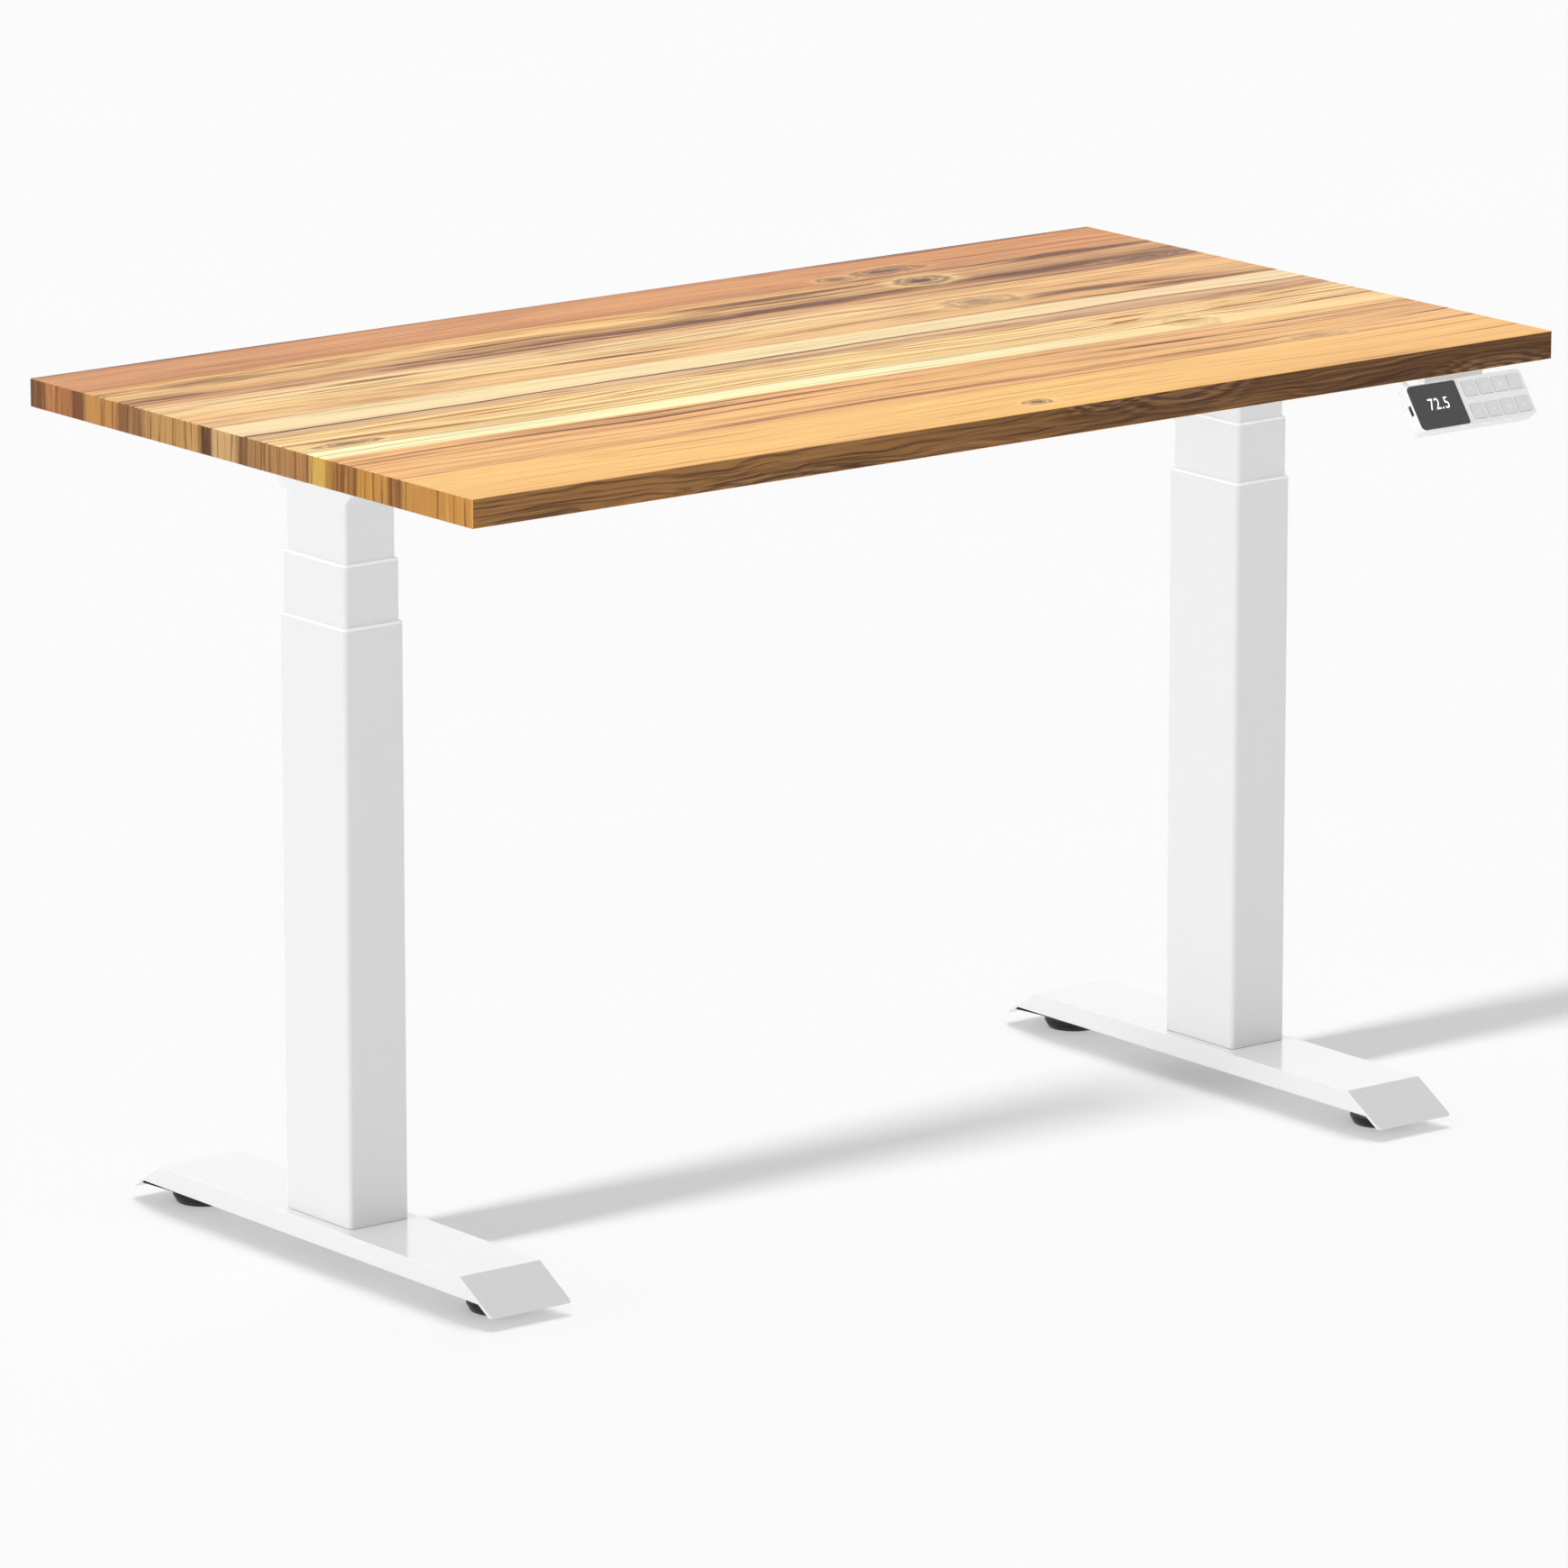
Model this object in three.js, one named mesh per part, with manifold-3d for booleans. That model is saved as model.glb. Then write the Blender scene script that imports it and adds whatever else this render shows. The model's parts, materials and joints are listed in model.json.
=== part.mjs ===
// Height adjustable standing desk: a wooden top on a two column electric frame.
// Millimetres, +Z up, front towards -Y. The origin is on the floor, midway between the feet.
import * as THREE from 'three';
import { mergeVertices } from 'three/addons/utils/BufferGeometryUtils.js';
import Module from 'manifold-3d';

const wasm = await Module();
wasm.setup();

// ---------------------------------------------------------------- driving dimensions

const GAP = 0.3; // air between two pieces that meet
const OVER = 1; // how far a cutting or joining solid reaches past the face that it meets
const SHAFT_CLEARANCE = 1;
const TOP = { length: 1174, depth: 642, thickness: 25, surface: 725 };
const UNDERSIDE = TOP.surface - TOP.thickness;
const COLUMN_X = 490; // from the middle of the desk to a column's centre line

const FOOT = {
  width: 84, top: 36.3, sheet: 2.5, flat: 440, tip: 531.2, lipBottom: 9.5, wallBottom: 18.2,
};
const GLIDE = {
  y: 216, radius: 26.5, edge: 1.5, shoulder: 5, pad: 9, collarTop: 13, stud: 4, top: 31, bush: 8,
  bushBottom: 14, bushTop: 33.9,
};

const OUTER = { x: 62, y: 95, corner: 4, wall: 1.2, bottom: FOOT.top + GAP, rim: 559.3 };
const MIDDLE = { x: 57, y: 90.5, corner: 3.5, wall: 1.2, bottom: 96, rim: 613.5 };
const INNER = { x: 52, y: 86, corner: 3, wall: 1.5, bottom: 153 };
const GUIDE = { flange: 2, skirt: 40 };

const BASE_PLATE = 8;
const PILLAR = { outer: 15.5, inner: 13, top: 382 }; // stands on the base and holds the lower nut
const NUT_TUBE = { outer: 19, inner: 16.3, plate: 5, top: 456 }; // stands on the middle stage
const LOWER_NUT = { top: 392, bottom: 370, bore: 10.4 };
const UPPER_NUT = { top: 466, bottom: 450.5, bore: 6.4 };
const LOWER_SCREW = { radius: 10, bore: 7, bottom: 96.5, top: 450, collar: 15, collarHeight: 6 };
const UPPER_SCREW = { radius: 6, bottom: 175, top: 667.5 };

const BRACKET = {
  width: 56, flange: 12, sheet: 2.5, length: 496, bottom: 666, halfSaddle: 46,
  kneeY: 68, kneeZ: 686, endZ: 691,
};
const GEARBOX = {
  width: 46, halfY: 33.5, throat: 24, housing: 29, housingLength: 22, housingBottom: 649.5, chamfer: 6,
  reach: 66, top: 698, shaftRoom: 1.5,
};
const MOTOR = { radius: 22.5, length: 84, cap: 12, step: 2, boss: 9, bossLength: 6, axisZ: 673.5 };
const RAIL = { innerY: 34.5, outerY: 57, bottom: 681, wall: 1.5, reach: 514.5 };

const BOX = {
  x: 135, front: 80, back: 180, bottom: 660, wall: 2.5, corner: 6, plate: 3, ear: 14, plateInset: 12,
};
const BOX_BOARD = { x: 128, front: 85, back: 159.5, bottom: 666.5, top: 676.5 };
const INLET = {
  x: 90, z: 676.2, width: 27, height: 19.5, depth: 16, proud: 1, socketX: 10, socketZ: 6.5, floor: 3,
};
const LEAD = { motor: 2.6, handset: 2, curveSegments: 4, steps: 30, plugZ: 680 };

const HANDSET = {
  x: 505.3, y: -308, z: 671.1, tilt: 55, width: 133, height: 45, depth: 12.5, corner: 4.5,
  wall: 1.8, face: 1.6, split: 7.6, boardTop: -6.6, board: 1.6,
};
const DISPLAY = { left: -66, width: 55.6, height: 42, corner: 4, ledge: 2.5, proud: 0.1 };
const KEYS = {
  first: 3.3, pitch: 17.4, width: 15.6, height: 14.6, rise: 22, proud: 0.5, skirt: 1.2, corner: 1.4,
};
const SOCKET = {
  height: 9.2, thickness: 3.2, inset: 4.7, length: 7, setBack: 0.4, wall: 0.8, floor: 1.5,
};
const BRACE = { halfWidth: 34, heel: -14, crest: 23.5, reach: 34, foot: 18, sheet: 4 };

// ---------------------------------------------------------------- colours and finishes

const finish = (color, roughness, metalness = 0) => ({ color, roughness, metalness });
const FINISHES = {
  wood: finish(0xc08a4a, 0.5),
  coat: finish(0xf2f2f3, 0.35),
  steel: finish(0xa8a9ab, 0.35, 0.9),
  whitePlastic: finish(0xeeeeef, 0.5),
  keyPlastic: finish(0xd4d4d6, 0.55),
  blackPlastic: finish(0x1c1c1e, 0.55),
  display: finish(0x2c2c2e, 0.15),
  board: finish(0x1f6b3f, 0.5),
  lead: finish(0x202022, 0.6),
};

const desk = new THREE.Group();

function addPiece(name, finishName, geometry, parent = desk) {
  const mesh = new THREE.Mesh(geometry, new THREE.MeshStandardMaterial(FINISHES[finishName]));
  mesh.name = name;
  parent.add(mesh);
}

// ---------------------------------------------------------------- solids

function solidOf(geometry) {
  const bare = geometry.clone();
  bare.deleteAttribute('normal');
  bare.deleteAttribute('uv');
  const merged = mergeVertices(bare, 1e-4);
  const vertProperties = new Float32Array(merged.attributes.position.array);
  const triVerts = new Uint32Array(merged.index.array);
  return new wasm.Manifold(new wasm.Mesh({ numProp: 3, vertProperties, triVerts }));
}

function geometryOf(solid) {
  const mesh = solid.getMesh();
  const geometry = new THREE.BufferGeometry();
  geometry.setAttribute('position', new THREE.BufferAttribute(mesh.vertProperties, 3));
  geometry.setIndex(new THREE.BufferAttribute(mesh.triVerts, 1));
  geometry.computeVertexNormals();
  return geometry;
}

const cut = (body, ...tools) => geometryOf(
  tools.reduce((solid, tool) => solid.subtract(solidOf(tool)), solidOf(body)),
);

const join = (body, ...others) => geometryOf(
  others.reduce((solid, other) => solid.add(solidOf(other)), solidOf(body)),
);

function block(x0, x1, y0, y1, z0, z1) {
  const box = new THREE.BoxGeometry(x1 - x0, y1 - y0, z1 - z0);
  return box.translate((x0 + x1) / 2, (y0 + y1) / 2, (z0 + z1) / 2);
}

function roundedOutline(width, height, radius, Kind = THREE.Shape) {
  const x = width / 2;
  const y = height / 2;
  const outline = new Kind();
  outline.moveTo(x, y - radius);
  outline.absarc(x - radius, y - radius, radius, 0, Math.PI / 2);
  outline.absarc(-x + radius, y - radius, radius, Math.PI / 2, Math.PI);
  outline.absarc(-x + radius, -y + radius, radius, Math.PI, Math.PI * 1.5);
  outline.absarc(x - radius, -y + radius, radius, Math.PI * 1.5, Math.PI * 2);
  return outline;
}

// A straight-sided piece that stands on z0 and reaches z1.
function prism(outline, z0, z1) {
  const geometry = new THREE.ExtrudeGeometry(outline, {
    depth: z1 - z0, bevelEnabled: false, curveSegments: 2,
  });
  return geometry.translate(0, 0, z0);
}

const roundedBlock = (width, height, radius, z0, z1) => prism(
  roundedOutline(width, height, radius), z0, z1,
);

// A rectangular tube, from its outer size and the size of its hole.
function rectTube(outer, hole, z0, z1) {
  const outline = roundedOutline(outer.x, outer.y, outer.corner);
  outline.holes.push(roundedOutline(hole.x, hole.y, hole.corner, THREE.Path));
  return prism(outline, z0, z1);
}

const grown = ({ x, y, corner }, by) => ({ x: x + 2 * by, y: y + 2 * by, corner: corner + by });

// A piece with one side profile of [y, z] points, extruded along X from x0 to x1.
function sideProfile(points, x0, x1) {
  const outline = new THREE.Shape(points.map(([y, z]) => new THREE.Vector2(y, z)));
  const geometry = new THREE.ExtrudeGeometry(outline, { depth: x1 - x0, bevelEnabled: false });
  return geometry.rotateY(Math.PI / 2).rotateX(Math.PI / 2).translate(x0, 0, 0);
}

// A turned piece from its [radius, z] profile, which starts and ends on the axis or closes.
function turned(profile, segments = 20) {
  const points = profile.map(([radius, z]) => new THREE.Vector2(radius, z));
  return new THREE.LatheGeometry(points, segments).rotateX(Math.PI / 2);
}

const rod = (radius, z0, z1, segments) => turned(
  [[0, z0], [radius, z0], [radius, z1], [0, z1]], segments,
);

const sleeve = (outer, inner, z0, z1, segments) => turned(
  [[inner, z0], [outer, z0], [outer, z1], [inner, z1], [inner, z0]], segments,
);

// ---------------------------------------------------------------- foot and glides

// The outline of the foot from the side, drawn in by a sheet's thickness where asked.
function footProfile(inset, bottom) {
  const run = (FOOT.tip - FOOT.flat) / 2;
  const drop = FOOT.top - FOOT.lipBottom;
  const slope = run / drop;
  const sideways = inset * Math.hypot(run, drop) / drop;
  const top = FOOT.top - inset;
  const edge = (z) => FOOT.flat / 2 + (FOOT.top - z) * slope - sideways;
  return [[-edge(top), top], [edge(top), top], [edge(bottom), bottom], [-edge(bottom), bottom]]
    .reverse();
}

function footGeometry() {
  const half = FOOT.width / 2;
  const shell = sideProfile(footProfile(0, FOOT.lipBottom), -half, half);
  const hollow = sideProfile(footProfile(FOOT.sheet, 0), -half + FOOT.sheet, half - FOOT.sheet);
  const under = cut(
    sideProfile(footProfile(FOOT.sheet, 0), -FOOT.width, FOOT.width),
    block(-FOOT.width, FOOT.width, -FOOT.tip, FOOT.tip, FOOT.wallBottom, FOOT.top + OVER),
  );
  const channel = cut(shell, hollow, under);
  const bushes = [-1, 1].map((end) => (
    rod(GLIDE.bush, GLIDE.bushBottom, GLIDE.bushTop).translate(0, end * GLIDE.y, 0)
  ));
  const holes = [-1, 1].map((end) => (
    rod(GLIDE.stud + 2 * GAP, 0, GLIDE.top + OVER, 16).translate(0, end * GLIDE.y, 0)
  ));
  return cut(join(channel, ...bushes), ...holes);
}

function glideGeometry() {
  const { radius, edge, shoulder, pad, collarTop, stud, top, bush } = GLIDE;
  return turned([
    [0, 0], [radius - edge, 0], [radius, edge], [radius, shoulder], [radius - shoulder, pad],
    [bush, pad], [bush, collarTop], [stud, collarTop], [stud, top], [0, top],
  ]);
}

// ---------------------------------------------------------------- telescopic column

// The guide bush caps a tube's rim and lines the gap to the next stage.
function guideGeometry(tube, next) {
  const skirtTop = tube.rim - GUIDE.flange / 2;
  const bore = grown(next, GAP);
  const flange = rectTube(tube, bore, tube.rim - GUIDE.flange, tube.rim);
  const skirt = rectTube(grown(tube, -tube.wall - GAP), bore, tube.rim - GUIDE.skirt, skirtTop);
  return join(flange, skirt);
}

const tubeGeometry = (tube, top) => rectTube(tube, grown(tube, -tube.wall), tube.bottom, top);

const plateIn = (tube, z0, z1) => {
  const { x, y, corner } = grown(tube, -tube.wall - GAP);
  return roundedBlock(x, y, corner, z0, z1);
};

function nutTubeGeometry() {
  const plateTop = MIDDLE.bottom + NUT_TUBE.plate;
  const tube = rod(NUT_TUBE.outer, plateTop - OVER, NUT_TUBE.top);
  const bore = rod(NUT_TUBE.inner, MIDDLE.bottom - OVER, NUT_TUBE.top + OVER);
  return cut(join(plateIn(MIDDLE, MIDDLE.bottom, plateTop), tube), bore);
}

// A flanged nut drops into the tube that holds it and rests on the tube's end.
const nutGeometry = (nut, tube) => turned([
  [nut.bore, nut.bottom], [tube.inner - GAP, nut.bottom], [tube.inner - GAP, tube.top + GAP],
  [tube.outer, tube.top + GAP], [tube.outer, nut.top], [nut.bore, nut.top],
  [nut.bore, nut.bottom],
]);

function lowerScrewGeometry() {
  const { radius, bore, bottom, top, collar, collarHeight } = LOWER_SCREW;
  return turned([
    [bore, bottom], [radius, bottom], [radius, top - collarHeight],
    [collar, top - collarHeight], [collar, top], [bore, top], [bore, bottom],
  ]);
}

// The head plate is welded into the inner tube, and the side bracket is screwed to it.
function innerTubeGeometry() {
  const top = BRACKET.bottom - GAP;
  const headPlate = plateIn({ ...INNER, wall: INNER.wall - 2 * GAP }, top - BASE_PLATE, top);
  const shaftHole = rod(UPPER_SCREW.radius + SHAFT_CLEARANCE, top - 2 * BASE_PLATE, top + OVER);
  return cut(join(tubeGeometry(INNER, top), headPlate), shaftHole);
}

// ---------------------------------------------------------------- head of the column

function bracketProfile(inset, top) {
  const { bottom, halfSaddle, kneeY, kneeZ, endZ, length } = BRACKET;
  const end = length / 2 - inset;
  const half = [
    [halfSaddle - inset / 2, bottom + inset], [kneeY - inset / 2, kneeZ + inset],
    [end, endZ + inset], [end, top],
  ];
  return [...half, ...half.map(([y, z]) => [-y, z]).reverse()];
}

// A pressed hat section, deepest over the column. inboard is +1 or -1, towards the desk's middle.
function sideBracketGeometry(inboard) {
  const half = BRACKET.width / 2;
  const brim = half + BRACKET.flange;
  const top = UNDERSIDE - GAP;
  const reach = BRACKET.length / 2;
  const pan = sideProfile(bracketProfile(0, top), -half, half);
  const flanges = block(-brim, brim, -reach, reach, top - BRACKET.sheet, top);
  const hollow = sideProfile(
    bracketProfile(BRACKET.sheet, top + OVER), -half + BRACKET.sheet, half - BRACKET.sheet,
  );
  const wall = [0, inboard * BRACKET.width].sort((a, b) => a - b);
  const throat = block(
    ...wall, -GEARBOX.throat - OVER, GEARBOX.throat + OVER, BRACKET.bottom + 2, top + OVER,
  );
  const railSlots = [-1, 1].map((side) => {
    const y = [side * (RAIL.innerY - GAP), side * (RAIL.outerY + GAP)].sort((a, b) => a - b);
    return block(...wall, ...y, RAIL.bottom - GAP, top + OVER);
  });
  const shaftHole = rod(
    UPPER_SCREW.radius + SHAFT_CLEARANCE, BRACKET.bottom - OVER, BRACKET.bottom + BRACKET.sheet + OVER,
  );
  return cut(join(pan, flanges), hollow, throat, ...railSlots, shaftHole);
}

function gearboxGeometry(inboard) {
  const { halfY, throat, housing, housingLength, housingBottom, chamfer, reach, top } = GEARBOX;
  const floor = BRACKET.bottom + BRACKET.sheet + GAP;
  const half = GEARBOX.width / 2;
  const span = (a, b) => [inboard * a, inboard * b].sort((p, q) => p - q);
  const seat = block(-half, half, -halfY, halfY, floor, top);
  const neck = block(...span(half - OVER, reach - housingLength + OVER), -throat, throat, floor, top);
  const bell = sideProfile(
    chamferedOutline(housing, housingBottom, top, chamfer), ...span(reach - housingLength, reach),
  );
  const shaftHole = rod(
    UPPER_SCREW.radius + GAP, floor - OVER, UPPER_SCREW.top + GEARBOX.shaftRoom,
  );
  const bossHole = rod(MOTOR.boss + GAP, 0, MOTOR.bossLength + GAP)
    .rotateY(-inboard * Math.PI / 2)
    .translate(inboard * reach, 0, MOTOR.axisZ);
  return cut(join(seat, neck, bell), shaftHole, bossHole);
}

function chamferedOutline(halfWidth, z0, z1, chamfer) {
  return [
    [-halfWidth, z0 + chamfer], [-halfWidth + chamfer, z0], [halfWidth - chamfer, z0],
    [halfWidth, z0 + chamfer], [halfWidth, z1 - chamfer], [halfWidth - chamfer, z1],
    [-halfWidth + chamfer, z1], [-halfWidth, z1 - chamfer],
  ];
}

// The motor lies along X, with its boss in the gearbox and a stepped cap on its far end.
function motorGeometry(inboard) {
  const { radius, length, cap, step, boss, bossLength } = MOTOR;
  const can = turned([
    [0, -bossLength], [boss, -bossLength], [boss, GAP], [radius - step, GAP], [radius, step],
    [radius, length - cap], [radius - step, length - cap + step], [radius - step, length - step],
    [radius - 2 * step, length], [0, length],
  ]);
  return can.rotateY(inboard * Math.PI / 2)
    .translate(inboard * GEARBOX.reach, 0, MOTOR.axisZ);
}

// ---------------------------------------------------------------- a whole leg

function addLeg(side, inboard) {
  const leg = new THREE.Group();
  leg.position.x = -inboard * COLUMN_X;
  desk.add(leg);
  const add = (name, finishName, geometry) => addPiece(`${side}_${name}`, finishName, geometry, leg);
  const plateTop = OUTER.bottom + BASE_PLATE;

  add('foot', 'coat', footGeometry());
  add('outer_tube', 'coat', tubeGeometry(OUTER, OUTER.rim - GUIDE.flange - GAP));
  add('outer_guide_bush', 'whitePlastic', guideGeometry(OUTER, MIDDLE));
  add('column_base_plate', 'steel', plateIn(OUTER, OUTER.bottom, plateTop));
  add('spindle_pillar', 'steel', sleeve(PILLAR.outer, PILLAR.inner, plateTop + GAP, PILLAR.top));
  add('lower_screw_nut', 'blackPlastic', nutGeometry(LOWER_NUT, PILLAR));

  add('middle_tube', 'coat', tubeGeometry(MIDDLE, MIDDLE.rim - GUIDE.flange - GAP));
  add('middle_guide_bush', 'whitePlastic', guideGeometry(MIDDLE, INNER));
  add('nut_tube', 'steel', nutTubeGeometry());
  add('upper_screw_nut', 'blackPlastic', nutGeometry(UPPER_NUT, NUT_TUBE));
  add('lower_lead_screw', 'steel', lowerScrewGeometry());

  add('inner_tube', 'coat', innerTubeGeometry());
  add('upper_lead_screw', 'steel', rod(UPPER_SCREW.radius, UPPER_SCREW.bottom, UPPER_SCREW.top));
  add('side_bracket', 'coat', sideBracketGeometry(inboard));
  add('gearbox_housing', 'blackPlastic', gearboxGeometry(inboard));
  add('motor', 'steel', motorGeometry(inboard));

  [['front', -1], ['rear', 1]].forEach(([end, sign]) => {
    add(`${end}_glide`, 'blackPlastic', glideGeometry().translate(0, sign * GLIDE.y, 0));
  });
}

// ---------------------------------------------------------------- top and rails

function addTopAndRails() {
  const { length, depth, surface } = TOP;
  addPiece('desktop', 'wood', block(
    -length / 2, length / 2, -depth / 2, depth / 2, UNDERSIDE, surface,
  ));
  const { reach, wall, bottom } = RAIL;
  const top = UNDERSIDE - 2 * GAP;
  [['front_rail', -1], ['rear_rail', 1]].forEach(([name, side]) => {
    const [y0, y1] = [side * RAIL.innerY, side * RAIL.outerY].sort((a, b) => a - b);
    const bar = block(-reach, reach, y0, y1, bottom, top);
    const hole = block(
      -reach - OVER, reach + OVER, y0 + wall, y1 - wall, bottom + wall, top - wall,
    );
    addPiece(name, 'coat', cut(bar, hole));
  });
}

// ---------------------------------------------------------------- control box

function addControlBox() {
  const { x, front, back, bottom, wall, corner, plate, ear, plateInset } = BOX;
  const plateTop = UNDERSIDE - GAP;
  const caseTop = plateTop - plate - GAP;
  const depth = back - front;
  const y = (front + back) / 2;
  const shell = roundedBlock(2 * x, depth, corner, bottom, caseTop);
  const hollow = roundedBlock(
    2 * (x - wall), depth - 2 * wall, corner - wall, bottom + wall, caseTop + OVER,
  );
  const halfWidth = INLET.width / 2;
  const halfHeight = INLET.height / 2;
  const window = block(
    INLET.x - halfWidth - GAP, INLET.x + halfWidth + GAP, depth / 2 - 2 * wall, depth,
    INLET.z - halfHeight - GAP, INLET.z + halfHeight + GAP,
  );
  addPiece('control_box_case', 'blackPlastic', cut(shell, hollow, window).translate(0, y, 0));
  const plateDepth = depth - 2 * plateInset;
  const lid = roundedBlock(2 * (x + ear), plateDepth, corner, plateTop - plate, plateTop);
  addPiece('control_box_mounting_plate', 'blackPlastic', lid.translate(0, y, 0));
  const board = BOX_BOARD;
  addPiece('control_box_circuit_board', 'board', block(
    -board.x, board.x, board.front, board.back, board.bottom, board.top,
  ));
  const inlet = block(
    INLET.x - halfWidth, INLET.x + halfWidth, back - INLET.depth, back + INLET.proud,
    INLET.z - halfHeight, INLET.z + halfHeight,
  );
  const socket = block(
    INLET.x - INLET.socketX, INLET.x + INLET.socketX,
    back - INLET.depth + INLET.floor, back + INLET.proud + OVER,
    INLET.z - INLET.socketZ, INLET.z + INLET.socketZ,
  );
  addPiece('mains_inlet', 'blackPlastic', cut(inlet, socket));
}

// ---------------------------------------------------------------- handset

// Everything here is in the handset's own frame: the face lies in z = 0 and its normal is +Z.
const keyCentres = () => [0, 1].flatMap((row) => [0, 1, 2, 3].map((column) => ({
  x: KEYS.first + column * KEYS.pitch,
  y: (0.5 - row) * KEYS.rise,
})));

function addHandset() {
  const handset = new THREE.Group();
  handset.position.set(HANDSET.x, HANDSET.y, HANDSET.z);
  handset.rotation.x = THREE.MathUtils.degToRad(HANDSET.tilt);
  desk.add(handset);
  const add = (name, finishName, geometry) => addPiece(name, finishName, geometry, handset);
  const { width, height, depth, corner, wall, face, split } = HANDSET;
  const displayX = DISPLAY.left + DISPLAY.width / 2;

  const shell = (z0, z1) => roundedBlock(width, height, corner, z0, z1);
  const cavity = (z0, z1) => roundedBlock(
    width - 2 * wall, height - 2 * wall, corner - wall, z0, z1,
  );
  const windowOf = (inset, z0, z1) => roundedBlock(
    DISPLAY.width - 2 * inset, DISPLAY.height - 2 * inset, DISPLAY.corner - inset, z0, z1,
  ).translate(displayX, 0, 0);
  const displayHole = windowOf(DISPLAY.ledge, -2 * face, OVER);
  const displaySeat = windowOf(-GAP, -face / 2, OVER);
  const keyHoles = keyCentres().map(({ x, y }) => roundedBlock(
    KEYS.width + 2 * GAP, KEYS.height + 2 * GAP, KEYS.corner + GAP, -2 * face, OVER,
  ).translate(x, y, 0));
  const socketHole = block(
    -width / 2 - OVER, -width / 2 + 2 * wall, -SOCKET.height / 2 - GAP, SOCKET.height / 2 + GAP,
    -SOCKET.inset - SOCKET.thickness / 2 - GAP, -SOCKET.inset + SOCKET.thickness / 2 + GAP,
  );
  add('handset_front_shell', 'whitePlastic', cut(
    shell(-split, 0), cavity(-split - OVER, -face), displayHole, displaySeat, socketHole, ...keyHoles,
  ));
  add('handset_back_shell', 'whitePlastic', cut(
    shell(-depth, -split - GAP), cavity(-depth + wall, 0),
  ));
  add('handset_display', 'display', windowOf(0, -face / 2 + GAP, DISPLAY.proud));
  add('handset_circuit_board', 'board', block(
    -width / 2 + 2 * SOCKET.length, width / 2 - 3 * wall, -height / 2 + 2 * wall,
    height / 2 - 2 * wall, HANDSET.boardTop - HANDSET.board, HANDSET.boardTop,
  ));
  const socketX = -width / 2 + SOCKET.setBack;
  const socketBody = block(
    socketX, socketX + SOCKET.length, -SOCKET.height / 2, SOCKET.height / 2,
    -SOCKET.inset - SOCKET.thickness / 2, -SOCKET.inset + SOCKET.thickness / 2,
  );
  const slotHeight = SOCKET.height / 2 - SOCKET.wall;
  const slotThickness = SOCKET.thickness / 2 - SOCKET.wall;
  const socketSlot = block(
    socketX - OVER, socketX + SOCKET.length - SOCKET.floor, -slotHeight, slotHeight,
    -SOCKET.inset - slotThickness, -SOCKET.inset + slotThickness,
  );
  add('handset_charging_socket', 'blackPlastic', cut(socketBody, socketSlot));
  const keyNames = ['up', 'down', 'memory_1', 'memory_2', 'memory_3', 'memory_4', 'menu', 'alarm'];
  keyCentres().forEach(({ x, y }, i) => {
    const key = roundedBlock(KEYS.width, KEYS.height, KEYS.corner, -face - KEYS.skirt, KEYS.proud);
    add(`handset_${keyNames[i]}_button`, 'keyPlastic', key.translate(x, y, 0));
  });
}

// A wedge between the handset's back and the underside of the top.
function addHandsetBracket() {
  const tilt = THREE.MathUtils.degToRad(HANDSET.tilt);
  const [along, out] = [Math.cos(tilt), Math.sin(tilt)];
  const onBack = (up) => [
    HANDSET.y + up * along + (HANDSET.depth + GAP) * out,
    HANDSET.z + up * out - (HANDSET.depth + GAP) * along,
  ];
  const top = UNDERSIDE - GAP;
  const crest = onBack(BRACE.crest);
  const toe = crest[0] + BRACE.reach;
  const profile = [
    onBack(BRACE.heel), [toe - BRACE.foot, top - BRACE.sheet], [toe, top - BRACE.sheet],
    [toe, top], [crest[0], top], crest,
  ];
  addPiece('handset_bracket', 'whitePlastic', sideProfile(
    profile, HANDSET.x - BRACE.halfWidth, HANDSET.x + BRACE.halfWidth,
  ));
}

// ---------------------------------------------------------------- leads held under the top

function leadGeometry(points, radius) {
  const route = new THREE.CatmullRomCurve3(points.map((p) => new THREE.Vector3(...p)));
  const section = new THREE.Shape();
  section.absarc(0, 0, radius, 0, Math.PI * 2);
  return new THREE.ExtrudeGeometry(section, {
    steps: LEAD.steps, curveSegments: LEAD.curveSegments, bevelEnabled: false, extrudePath: route,
  });
}

// Each lead's route is a list of points between its two ends, close under the top and the rails.
function addLeads() {
  const { plugZ } = LEAD;
  const motorEnd = COLUMN_X - GEARBOX.reach - MOTOR.length - GAP;
  const run = 668;
  [['left', -1, 110], ['right', 1, 130]].forEach(([side, sign, plugY]) => {
    addPiece(`${side}_motor_lead`, 'lead', leadGeometry([
      [sign * motorEnd, 0, MOTOR.axisZ], [sign * (motorEnd - 20), 1, run + 4],
      [sign * 290, 14, run], [sign * 262, 46, run], [sign * 236, 78, run + 2],
      [sign * 205, 98, run + 8], [sign * 170, plugY - 4, plugZ], [sign * (BOX.x + GAP), plugY, plugZ],
    ], LEAD.motor));
  });
  addPiece('handset_lead', 'lead', leadGeometry([
    [466, -288, 688], [445, -276, 692], [400, -256, 694], [350, -215, 695], [318, -150, 695],
    [302, -90, 690], [298, -46, 674], [296, -8, 680], [292, 20, 680], [284, 50, 674],
    [262, 90, 682], [222, 130, 688], [176, 152, 684], [BOX.x + GAP, 156, plugZ],
  ], LEAD.handset));
}

addLeg('left', 1);
addLeg('right', -1);
addTopAndRails();
addControlBox();
addHandset();
addHandsetBracket();
addLeads();

export default desk;
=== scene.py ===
"""The looks of a height adjustable standing desk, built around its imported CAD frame.

Meshes are drawn in millimetres, in the frame's own axes, and scaled to metres as each piece is made.
"""

import json
import math

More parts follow.
